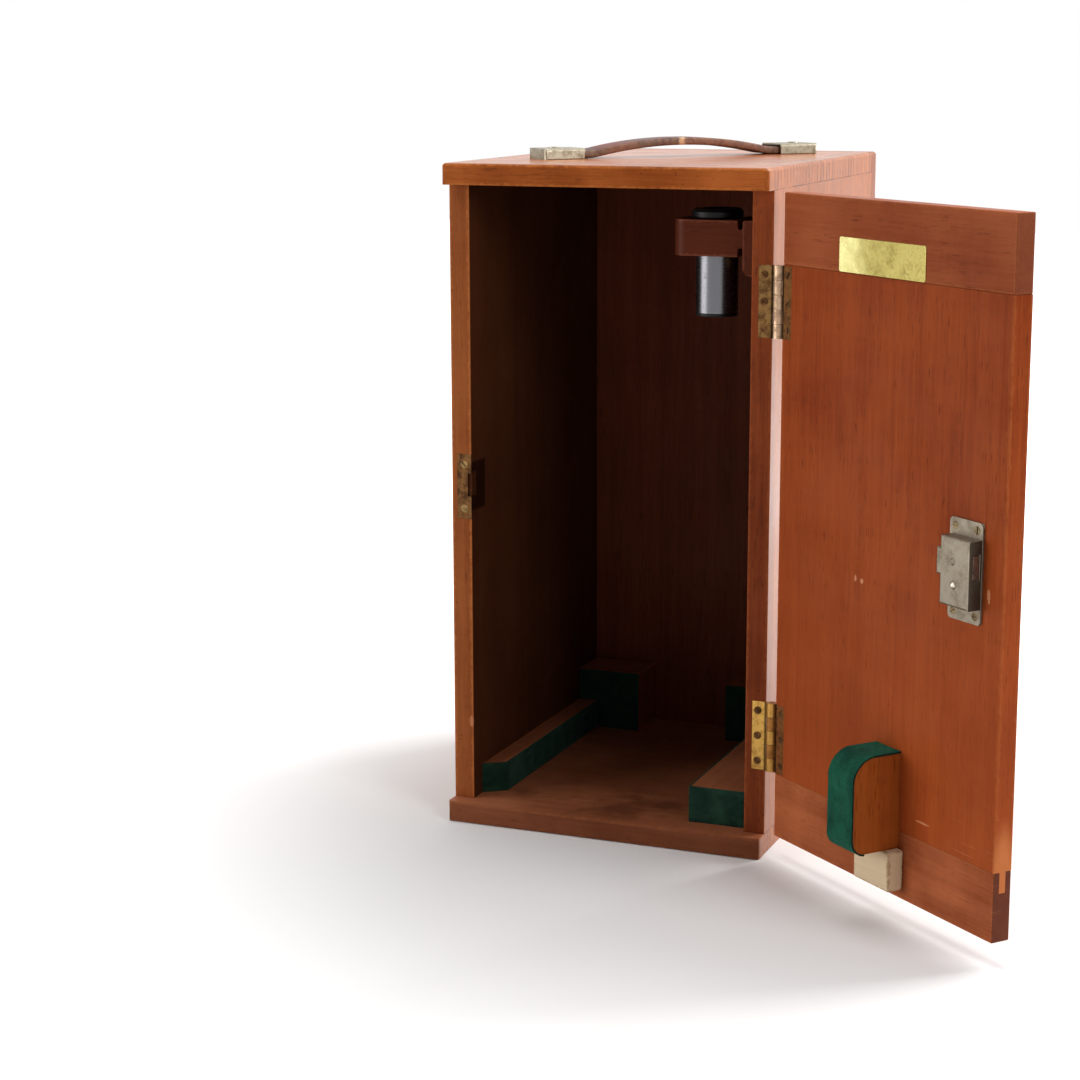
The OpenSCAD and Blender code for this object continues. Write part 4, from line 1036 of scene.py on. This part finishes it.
@dataclass
class Carcass:
    """Top, base, sides and back, with the screws that hold the back."""

    edge_mm: float = 0.35
    rim_mm: float = 2.4
    comb_front_mm: float = -99.0
    finger_mm: float = 199.0 / 34
    board_mm: float = 12.0

    def joints(self, g: Graph, colour: bpy.types.NodeSocket) -> bpy.types.NodeSocket:
        """Darkens the lines between the comb joints' fingers and along their roots."""
        x, y, z = g.axes(g.place)
        cell = g.calc("MULTIPLY_ADD", y, 1.0 / (self.finger_mm * MM), -self.comb_front_mm / self.finger_mm)
        between = g.span(g.calc("PINGPONG", cell, 0.5), 0.03, 0.13, 1.0, 0.0)
        height = g.calc("ABSOLUTE", g.calc("SUBTRACT", z, 0.19))
        deep = g.calc("SUBTRACT", height, 0.19 - self.board_mm * MM)
        aside = g.calc("SUBTRACT", g.calc("ABSOLUTE", x), 0.0945 - self.board_mm * MM)
        corner = g.span(g.calc("MINIMUM", deep, aside), -0.0003, 0.0, 0.0, 1.0)
        root = g.span(g.calc("ABSOLUTE", deep), 0.0002, 0.0005, 1.0, 0.0)
        reach = g.within((-200.0, -99.3, -1.0), (200.0, 100.3, 400.0))
        line = g.calc("MULTIPLY", g.calc("MULTIPLY", g.calc("MAXIMUM", between, root), corner), reach)
        uneven = g.span(g.noise(g.place, 70.0, 3.0, 0.6), 0.38, 0.6, 0.2, 1.0)
        return g.blend(g.calc("MULTIPLY", line, uneven), colour, srgb(72, 30, 16))

    def stains(self, g: Graph, colour: bpy.types.NodeSocket) -> bpy.types.NodeSocket:
        """Adds dark stains near the floor's front and pale dust towards its back."""
        place = g.mapping((0.0, 0.0, 0.0))
        front = g.near(Vector((-0.01, -0.075, 0.012)), (0.075, 0.035, 0.02))
        blot = g.calc("MULTIPLY", g.span(g.noise(place, 38.0, 5.0, 0.6), 0.42, 0.68), g.span(front, 0.5, 1.1, 1.0, 0.0))
        colour = g.blend(g.calc("MULTIPLY", blot, 0.55), colour, srgb(52, 24, 16))
        sill = g.within((-200.0, -112.0, -1.0), (200.0, -108.9, 13.0))
        colour = g.blend(g.calc("MULTIPLY", sill, 0.5), colour, srgb(66, 26, 14))
        rear = g.near(Vector((0.0, 0.06, 0.012)), (0.085, 0.05, 0.006))
        dust = g.calc("MULTIPLY", g.span(g.noise(place, 800.0, 2.0, 0.6), 0.62, 0.72), g.span(rear, 0.6, 1.2, 1.0, 0.0))
        colour = g.blend(g.calc("MULTIPLY", dust, 0.7), colour, srgb(170, 150, 130))
        return self.specks(g, colour)

    def specks(self, g: Graph, colour: bpy.types.NodeSocket) -> bpy.types.NodeSocket:
        """Adds small dark knocks and specks, as old varnish gathers."""
        place = g.mapping((0.1, 0.2, 0.3))
        speck = g.span(g.cells(place, 210.0), 0.06, 0.11, 1.0, 0.0)
        gate = g.span(g.noise(place, 90.0, 2.0, 0.5), 0.52, 0.6)
        colour = g.blend(g.calc("MULTIPLY", g.calc("MULTIPLY", speck, gate), 0.8), colour, srgb(44, 18, 12))
        return self.joints(g, colour)

    def knocks(self, g: Graph, colour: bpy.types.NodeSocket) -> bpy.types.NodeSocket:
        """Adds a pale chip on the left side's front edge, above the sill, and painted shade inside the strike's
        mortise.
        """
        chip = g.near(Vector((-0.0835, -0.0992, 0.0585)), (0.0016, 0.002, 0.0042))
        colour = g.blend(g.span(chip, 0.6, 1.0, 0.8, 0.0), colour, srgb(186, 120, 80))
        # Painted shade: the inside of the strike's mortise is darkened to near black.
        mortise = g.within((-94.0, -98.9, 183.0), (-82.0, -80.0, 211.0))
        colour = g.blend(g.calc("MULTIPLY", mortise, 0.8), colour, srgb(18, 9, 6))
        return self.specks(g, colour)

    def nosing(self, first: Vector, second: Vector) -> bool:
        """Picks the front edges of top and base, their front corners and the top's rim."""
        front = first.y < -109.5 and second.y < -109.5
        upright = front and abs(first.z - second.z) > 8.0
        long_edge = (first - second).length > 100.0
        return upright or (front and long_edge) or (long_edge and min(first.z, second.z) > 379.5)

    def soften(self, piece: bpy.types.Object) -> None:
        """Rounds the case's top rim across boards and fingers alike."""
        low = Vector((-0.0945, -0.110, -0.02))
        high = Vector((0.0945, 0.14, 0.380))
        deselect()
        bpy.ops.mesh.primitive_cube_add(size=1.0, location=(low + high) / 2)
        envelope = bpy.context.object
        envelope.scale = high - low
        settle(envelope)
        edit(envelope, "EDGE", False)
        bpy.ops.object.mode_set(mode="OBJECT")
        points = envelope.data.vertices
        for edge in envelope.data.edges:
            middle = sum((points[i].co for i in edge.vertices), Vector()) / 2
            sides = (abs(middle.x) > high.x - MM) + (middle.y < low.y + MM) + (middle.z > high.z - MM)
            edge.select = sides >= 2
        bpy.ops.object.mode_set(mode="EDIT")
        bpy.ops.mesh.bevel(offset=self.rim_mm * MM, segments=6)
        bpy.ops.object.mode_set(mode="OBJECT")
        cut = piece.modifiers.new("soften", "BOOLEAN")
        cut.operation = "INTERSECT"
        cut.solver = "EXACT"
        cut.object = envelope
        apply_modifiers(piece)
        bpy.data.objects.remove(envelope)
        smooth(piece)
        even(piece)

    def build(self) -> None:
        """Finishes the five boards and the screws."""
        plan = (
            ("top_board", Grain.ACROSS, 1.0, self.specks, TOP_WOOD, 2.0),
            ("base_board", Grain.ACROSS, 2.0, self.stains, FLOOR_WOOD, 1.2),
            ("left_side", Grain.UP, 3.0, self.knocks, MAHOGANY, 0.0),
            ("right_side", Grain.UP, 4.0, self.specks, SHADED_RIGHT_WOOD, 0.0),
            ("back_panel", Grain.UP, 5.0, self.specks, BACK_WOOD, 0.0),
        )
        for node, grain, seed, marks, wood, nose in plan:
            piece = eased(node, self.edge_mm, 3.0, 3 if nose else 2, self.nosing if nose else None, nose, grain.turn())
            if node != "base_board":
                self.soften(piece)
            stand_for(piece, node, wood.on(node, grain, seed, marks, inside_case, outside_case))
        Screw(3.2, 1.6, 9.4, 0.8, 0.7).drive("back_screws", Vector((0, 1, 0)), DULL_BRASS.on("back_screws"), 11)


@dataclass
class Handle:
    """The leather strap, bowed between two folded metal caps."""

    width_mm: float = 18.0
    thick_mm: float = 4.3
    low_mm: float = 0.3
    rise_mm: float = 6.4
    end_mm: float = 85.8
    flat_mm: float = 61.7
    bend_mm: float = 40.0
    round_mm: float = 1.1
    screw_mm: float = 78.5

    def to_place(self) -> Matrix:
        """Gives the turn and move from the handle's own axes to the top board."""
        return Matrix.Translation(HANDLE_MIDDLE) @ Matrix.Rotation(HANDLE_TURN, 4, "Z")

    def run_on(self, length_mm: float) -> None:
        """Extrudes the open end straight along the handle."""
        bpy.ops.mesh.extrude_region_move(TRANSFORM_OT_translate={"value": (length_mm * MM, 0, 0)})

    def strap(self) -> bpy.types.Object:
        """Models the strap: its rounded section is run straight, bent, bowed and bent back."""
        turn = 2 * math.atan(self.rise_mm / self.flat_mm)
        bow = (self.flat_mm**2 + self.rise_mm**2) / (2 * self.rise_mm) - self.bend_mm
        deselect()
        bpy.ops.mesh.primitive_plane_add(size=1.0, rotation=(0, math.radians(-90), 0))
        piece = bpy.context.object
        piece.name = "handle_strap_leather"
        settle(piece)
        stretch = Matrix.Diagonal((1, self.width_mm * MM, self.thick_mm * MM, 1))
        piece.data.transform(Matrix.Translation(Vector((-self.end_mm, 0, self.low_mm + self.thick_mm / 2)) * MM) @ stretch)
        edit(piece, "VERT")
        bpy.ops.mesh.bevel(offset=self.round_mm * MM, segments=3, affect="VERTICES")
        bpy.ops.mesh.select_all(action="SELECT")
        self.run_on(self.end_mm - self.flat_mm)
        high = (self.low_mm + self.bend_mm) * MM
        middle = (self.low_mm + self.rise_mm - bow) * MM
        for centre, angle, steps in (
            ((-self.flat_mm * MM, 0, high), turn, 6),
            ((0, 0, middle), -2 * turn, 44),
            ((self.flat_mm * MM, 0, high), turn, 6),
        ):
            bpy.ops.mesh.spin(steps=steps, angle=angle, center=centre, axis=(0, 1, 0))
        self.run_on(self.end_mm - self.flat_mm)
        bpy.ops.mesh.select_all(action="SELECT")
        bpy.ops.mesh.remove_doubles(threshold=1e-6)
        bpy.ops.mesh.normals_make_consistent(inside=False)
        bpy.ops.object.mode_set(mode="OBJECT")
        for side in (-1, 1):
            self.cut_slot(piece, side * self.screw_mm * MM)
        self.age(piece)
        piece.data.transform(self.to_place())
        smooth(piece, 50.0)
        return piece

    def cut_slot(self, piece: bpy.types.Object, at: float) -> None:
        """Cuts the long hole that a cap's screw passes through."""
        deselect()
        bpy.ops.mesh.primitive_cube_add(size=1.0, location=(at, 0, 0.003))
        cutter = bpy.context.object
        cutter.scale = (8.6 * MM, 4.2 * MM, 12 * MM)
        settle(cutter)
        edit(cutter, "EDGE", False)
        bpy.ops.object.mode_set(mode="OBJECT")
        for edge in cutter.data.edges:
            first, second = (cutter.data.vertices[i].co for i in edge.vertices)
            edge.select = abs(first.z - second.z) > 5 * MM
        bpy.ops.object.mode_set(mode="EDIT")
        bpy.ops.mesh.bevel(offset=2.05 * MM, segments=5)
        bpy.ops.object.mode_set(mode="OBJECT")
        hole = piece.modifiers.new("slot", "BOOLEAN")
        hole.object = cutter
        hole.solver = "EXACT"
        apply_modifiers(piece)
        bpy.data.objects.remove(cutter)

    def age(self, piece: bpy.types.Object) -> None:
        """Hollows and lifts the strap's skin slightly, as old leather is never true."""
        draw = random.Random(7)
        waves = [(draw.uniform(40, 160), draw.uniform(0, 6.28), draw.uniform(0.4, 1.0)) for _ in range(5)]
        for vertex in piece.data.vertices:
            s, t = vertex.co.x, vertex.co.y
            if abs(s) < self.flat_mm * MM:
                sway = sum(a * math.sin(s * k + p + 90 * t) for k, p, a in waves) / len(waves)
                vertex.co.z -= 0.12 * MM * abs(sway)
                vertex.co.y += 0.15 * MM * sway * (1 if t > 0 else -1)

    def build(self) -> None:
        """Makes the strap, and finishes caps and screws."""
        stand_for(self.strap(), "handle_strap", STRAP_LEATHER.on("handle_strap", HANDLE_MIDDLE, HANDLE_TURN))
        for node in ("handle_cap_left", "handle_cap_right"):
            stand_for(eased(node, 0.6, 2.0, 3, rim=Euler((0.0, 0.0, -HANDLE_TURN))), node, NICKEL.on(node, 260.0))
        Screw(3.0, 1.8, 15.0, 0.8, 0.45, 0.6).drive("handle_screws", Vector((0, 0, 1)), NICKEL.on("handle_screws"), 21)


def door_point(u_mm: float, z_mm: float, off_mm: float = 0.0) -> Vector:
    """Finds a place on the open door's inner face.

    Args:
        u_mm: from the hinge edge towards the free edge.
        z_mm: height above the base's underside.
        off_mm: distance off the face.

    Returns:
        The place in the row's frame, in metres.
    """
    shut = Vector((94.5 - u_mm, -99.4 + off_mm, z_mm)) * MM
    return Matrix.Rotation(DOOR_OPEN, 3, "Z") @ (shut - HINGE_AXIS) + HINGE_AXIS


def off_door_face(place: Vector) -> float:
    """Gives a place's distance off the open door's inner face, in millimetres."""
    normal = Matrix.Rotation(DOOR_OPEN, 3, "Z") @ Vector((0, 1, 0))
    return (place - door_point(0.0, 0.0)).dot(normal) * 1000


@dataclass
class Door:
    """Panel and cleats, the bare name plate, the foot block and the escutcheon."""

    def marks(self, g: Graph, colour: bpy.types.NodeSocket) -> bpy.types.NodeSocket:
        """Adds two pale chips, a few rubs and fine scratches to the panel."""
        turn = Grain.DOOR_UP.turn()
        for u, z, wide, high in ((70.6, 172.8, 1.2, 2.0), (76.0, 172.3, 1.6, 1.6), (178.0, 184.5, 1.4, 4.0), (58.0, 63.0, 5.0, 0.7), (132.0, 58.0, 6.0, 0.6)):
            chip = g.near(door_point(u, z), (wide * MM, 3 * MM, high * MM), turn)
            ragged = g.calc("MULTIPLY_ADD", g.calc("SUBTRACT", g.noise(g.place, 900.0, 2.0, 0.6), 0.5), 1.2, chip)
            colour = g.blend(g.span(ragged, 0.7, 1.0, 0.75, 0.0), colour, srgb(206, 142, 100))
        place = g.mapping(turn)
        line = g.noise(g.stretch(place, (30.0, 30.0, 1900.0)), 1.0, 2.0, 0.4, 0.5)
        gate = g.span(g.noise(place, 24.0, 2.0, 0.5), 0.56, 0.66)
        _, _, height = g.axes(place)
        low = g.span(height, 0.03, 0.14, 1.0, 0.0)
        scratch = g.calc("MULTIPLY", g.calc("MULTIPLY", g.span(line, 0.66, 0.70), gate), low)
        return g.blend(g.calc("MULTIPLY", scratch, 0.4), colour, srgb(190, 120, 80))

    def panel_marks(self, g: Graph, colour: bpy.types.NodeSocket) -> bpy.types.NodeSocket:
        """Lightens and warms the panel towards its foot as painted light, and makes the lower end of its free edge
        paler.
        """
        _, _, height = g.axes(g.place)
        # Painted light: the panel grows lighter and warmer towards its foot.
        colour = g.blend(g.span(height, 0.03, 0.26, 0.34, 0.0), colour, srgb(186, 92, 44))
        tip = g.near(door_point(189.0, 45.0, -5.5), (2 * MM, 9 * MM, 34 * MM), Grain.DOOR_UP.turn())
        return self.marks(g, g.blend(g.span(tip, 0.4, 1.0, 0.6, 0.0), colour, srgb(206, 128, 76)))

    def plate_light(self, g: Graph) -> bpy.types.NodeSocket:
        """Masks the half of the name plate towards the hinges, made pale as a painted highlight."""
        turn = Grain.DOOR_UP.turn()
        start, end = ((turn.to_matrix() @ door_point(u, 338.6)).x for u in (50.7, 122.2))
        along, _, _ = g.axes(g.mapping(turn))
        wander = g.calc("MULTIPLY_ADD", g.calc("SUBTRACT", g.noise(g.place, 120.0, 3.0, 0.6), 0.5), 0.02, along)
        return g.span(wander, start + 0.42 * (end - start), start + 0.05 * (end - start))

    def build(self) -> None:
        """Finishes every piece that hangs on the door apart from lock and hinges."""
        panel = eased("door_panel", 0.3, 3.0, rim=Grain.DOOR_UP.turn())
        stand_for(panel, "door_panel", DOOR_WOOD.on("door_panel", Grain.DOOR_UP, 6.0, self.panel_marks, polished=outside_door))
        for node, seed, dirt, light in (("door_top_cleat", 7.0, 0.4, srgb(164, 88, 52)), ("door_bottom_cleat", 8.0, 0.76, srgb(186, 106, 66))):
            marks = self.marks if node == "door_bottom_cleat" else None
            wood = replace(CLEAT_WOOD, end_grain=dirt, light=light)
            stand_for(eased(node, 0.7, 3.0, 3, rim=Grain.DOOR_ACROSS.turn()), node, wood.on(node, Grain.DOOR_ACROSS, seed, marks, polished=outside_door))
        stand_for(eased("name_plate", 0.12, 0.1), "name_plate", PLATE_BRASS.on("name_plate", 90.0, rubbed=self.plate_light))
        stand_for(eased("foot_block", 0.25, 2.0), "foot_block", BLOCK_WOOD.on("foot_block", Grain.DOOR_UP, 9.0))
        stand_for(eased("packing_block", 1.3, 2.0, 4), "packing_block", PALE_WOOD.on("packing_block", Grain.DOOR_ACROSS, 10.0))
        felted("foot_block_baize", BAIZE, Matrix.Rotation(DOOR_OPEN, 3, "Z") @ Vector((1, 0, 0)))
        stand_for(eased("keyhole_plate", 0.15, 0.3), "keyhole_plate", BRIGHT_BRASS.on("keyhole_plate", 300.0))
        keep("keyhole_pins", BRIGHT_BRASS.on("keyhole_pins"))


def felted(node: str, felt: Felt, cut: Optional[Sequence[float]] = None) -> bpy.types.Object:
    """Makes a baize facing: soft edges and a skin that is never quite flat.

    Args:
        node: the facing's node.
        felt: its finish.
        cut: the axis that its dark cut edges face.

    Returns:
        The piece that stands for it.
    """
    piece = eased(node, 0.28, 0.9, 2)
    piece.name = f"{node}_felt"
    edit(piece)
    bpy.ops.mesh.quads_convert_to_tris()
    bpy.ops.object.mode_set(mode="OBJECT")
    for _ in range(3):
        edit(piece, "EDGE", False)
        bpy.ops.object.mode_set(mode="OBJECT")
        for edge in piece.data.edges:
            first, second = (piece.data.vertices[i].co for i in edge.vertices)
            edge.select = (first - second).length > 5 * MM
        bpy.ops.object.mode_set(mode="EDIT")
        bpy.ops.mesh.subdivide(number_cuts=2)
        bpy.ops.mesh.quads_convert_to_tris()
        bpy.ops.object.mode_set(mode="OBJECT")
    for vertex in piece.data.vertices:
        x, y, z = (c * 1000 for c in vertex.co)
        sway = math.sin(0.9 * x + 0.6 * y + 1.3 * z) + math.sin(1.7 * z - 0.8 * x + 0.5 * y) + math.sin(2.3 * y + 0.4 * z)
        vertex.co += vertex.normal * 0.03 * MM * sway
    smooth(piece, 60.0)
    return stand_for(piece, node, felt.on(node, cut))


def hinge_groove_shade_and_dirt(g: Graph) -> bpy.types.NodeSocket:
    """Masks the grooves where a leaf meets its knuckles, darkened as painted shade with some old dirt."""
    node = g.tree.nodes.new("ShaderNodeVectorMath")
    node.operation = "LENGTH"
    g.put(node.inputs[0], g.stretch(g.shift(g.place, -HINGE_AXIS), (1.0, 1.0, 0.0)))
    reach = node.outputs["Value"]
    return g.calc("MULTIPLY", g.span(reach, 0.0030, 0.0033), g.span(reach, 0.0040, 0.0048, 1.0, 0.0))


def knuckle_shine(g: Graph) -> bpy.types.NodeSocket:
    """Masks the knuckles, made paler as a painted shine and by rubbing at every opening of the door."""
    node = g.tree.nodes.new("ShaderNodeVectorMath")
    node.operation = "LENGTH"
    g.put(node.inputs[0], g.stretch(g.shift(g.place, -HINGE_AXIS), (1.0, 1.0, 0.0)))
    return g.span(node.outputs["Value"], 0.0029, 0.0032, 1.0, 0.0)


@dataclass
class Hinges:
    """Two butt hinges with their pins and screws."""

    def build(self) -> None:
        """Finishes leaves, pins and screws; the lower frame leaf is the brightest."""
        for node, metal in (("upper_frame_leaf", DULL_BRASS), ("upper_door_leaf", DOOR_BRASS), ("lower_frame_leaf", replace(BRIGHT_BRASS, rub=srgb(156, 112, 56))), ("lower_door_leaf", RED_BRASS)):
            stand_for(eased(node, 0.12, 1.0), node, metal.on(node, 240.0, hinge_groove_shade_and_dirt, knuckle_shine))
        for node in ("upper_hinge_pin", "lower_hinge_pin"):
            keep(node, DARK_BRASS.on(node))
        off_door = Matrix.Rotation(DOOR_OPEN, 3, "Z") @ Vector((0, 1, 0))
        screw = Screw(2.2, 1.1, 8.0)
        screw.drive("frame_leaf_screws", Vector((0, -1, 0)), DARK_BRASS.on("frame_leaf_screws"), 31)
        screw.drive("door_leaf_screws", off_door, DARK_BRASS.on("door_leaf_screws"), 32)


@dataclass
class Lock:
    """The box lock on the door and its strike on the side."""

    fold_mm: float = 1.3
    rivet_mm: float = 1.6
    rivet_high_mm: float = 1.3
    face_mm: float = 9.0
    rivet_u_mm: float = 162.25
    rivet_z_mm: float = 188.0

    def on_face(self, first: Vector, second: Vector) -> bool:
        """Picks the folded edges round the case's face."""
        level = off_door_face(first * MM)
        return level > self.face_mm - 0.1 and off_door_face(second * MM) > self.face_mm - 0.1 and (first - second).length > 3.0

    def rivet(self) -> None:
        """Models the domed head of the rivet that carries the key's post."""
        deselect()
        bpy.ops.mesh.primitive_cylinder_add(vertices=40, radius=self.rivet_mm * MM, depth=self.rivet_high_mm * MM, location=(0, 0, self.rivet_high_mm * MM / 2))
        piece = bpy.context.object
        piece.name = "lock_rivet_head"
        edit(piece)
        pick_faces(piece, lambda f: f.normal.z > 0.9)
        bpy.ops.mesh.bevel(offset=1.05 * MM, segments=6, affect="EDGES")
        bpy.ops.object.mode_set(mode="OBJECT")
        off = Matrix.Rotation(DOOR_OPEN, 3, "Z") @ Vector((0, 1, 0))
        lay = Vector((0, 0, 1)).rotation_difference(off).to_matrix().to_4x4()
        piece.data.transform(Matrix.Translation(door_point(self.rivet_u_mm, self.rivet_z_mm, self.face_mm - 0.02)) @ lay @ Matrix.Translation(piece.location))
        piece.location = (0, 0, 0)
        smooth(piece, 50.0)
        dress(piece, RIVET.on("lock_rivet_head", 400.0))
        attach(piece, "door")
        LOG.info("%s added", piece.name)

    def shade(self, g: Graph) -> bpy.types.NodeSocket:
        """Masks painted shade on the case's side walls, and a ring of painted shade with some dirt round the rivet."""
        free_side = Matrix.Rotation(DOOR_OPEN, 3, "Z") @ Vector((1, 0, 0))
        # Painted shade on the side walls.
        wall = g.calc("MULTIPLY", g.facing(free_side, 0.85), 0.8)
        # Painted shade, with some dirt, in a ring round the rivet.
        reach = g.near(door_point(self.rivet_u_mm, self.rivet_z_mm, self.face_mm), (0.0023, 0.0023, 0.0023))
        return g.calc("MAXIMUM", wall, g.span(reach, 0.7, 1.15, 0.9, 0.0))

    def build(self) -> None:
        """Finishes the lock's metalwork, inside and out."""
        stand_for(eased("lock_case", 0.3, 2.0, 3, self.on_face, self.fold_mm), "lock_case", LOCK_NICKEL.on("lock_case", 130.0, self.shade))
        self.rivet()
        stand_for(eased("lock_plate", 0.2, 0.6), "lock_plate", LOCK_NICKEL.on("lock_plate", 160.0))
        keep("lock_pins", LOCK_NICKEL.on("lock_pins"))
        stand_for(eased("lock_bolt", 0.2, 1.5), "lock_bolt", DARK_STEEL.on("lock_bolt"))
        keep("lock_spring", STEEL.on("lock_spring"))
        keep("lock_ward", BRIGHT_BRASS.on("lock_ward"))
        stand_for(eased("strike_plate", 0.12, 1.0), "strike_plate", DARK_BRASS.on("strike_plate", 200.0))
        off_door = Matrix.Rotation(DOOR_OPEN, 3, "Z") @ Vector((0, 1, 0))
        screw = Screw(2.2, 1.1, 8.0)
        screw.drive("lock_screws", off_door, LOCK_SCREW.on("lock_screws"), 41)
        screw.drive("strike_screws", Vector((0, -1, 0)), SCREW_BRASS.on("strike_screws"), 42)


@dataclass
class FloorFittings:
    """Rails and blocks on the floor, and the baize on them."""

    def build(self) -> None:
        """Finishes rails and blocks, and lays the baize."""
        plan = (("left_rail", Grain.BACK, 12.0), ("right_rail", Grain.BACK, 13.0), ("rear_left_block", Grain.ACROSS, 14.0), ("rear_right_block", Grain.ACROSS, 15.0))
        for node, grain, seed in plan:
            stand_for(eased(node, 0.4, 2.0), node, FLOOR_WOOD.on(node, grain, seed))
        for node in ("left_rail_baize", "right_rail_baize", "rear_left_baize", "rear_right_baize"):
            felted(node, DUSTY_BAIZE)


@dataclass
class Rack:
    """The wall plate and arm that hold the spare eyepiece."""

    def build(self) -> None:
        """Finishes plate, arm and screws."""
        stand_for(eased("rack_plate", 0.4, 2.0), "rack_plate", RACK_WOOD.on("rack_plate", Grain.UP, 16.0))
        stand_for(eased("rack_arm", 0.4, 2.0), "rack_arm", RACK_WOOD.on("rack_arm", Grain.ACROSS, 17.0))
        Screw(3.2, 1.6, 18.0, 0.8, 0.7).drive("rack_screws", Vector((-1, 0, 0)), DULL_BRASS.on("rack_screws"), 51)


@dataclass
class Eyepiece:
    """The spare eyepiece: bright tube, black cap, ring and lenses."""

    def build(self) -> None:
        """Finishes the eyepiece's pieces."""
        for node in ("eyepiece_cap", "eyepiece_field_ring"):
            stand_for(eased(node, 0.15, 0.5), node, BLACK.on(node))
        keep("eyepiece_tube", CHROME.on("eyepiece_tube", 120.0))
        keep("eyepiece_stop", BLACK.on("eyepiece_stop"))
        for node in ("eye_lens", "field_lens"):
            keep(node, GLASS.on(node))


def main() -> None:
    """Builds the studio and each sub-assembly in order."""
    logging.basicConfig(level=logging.INFO, format="%(name)s: %(message)s")
    for part in (Studio(), Carcass(), Handle(), Door(), Hinges(), Lock(), FloorFittings(), Rack(), Eyepiece()):
        part.build()
        LOG.info("%s done", type(part).__name__)


if __name__ == "__main__":
    main()
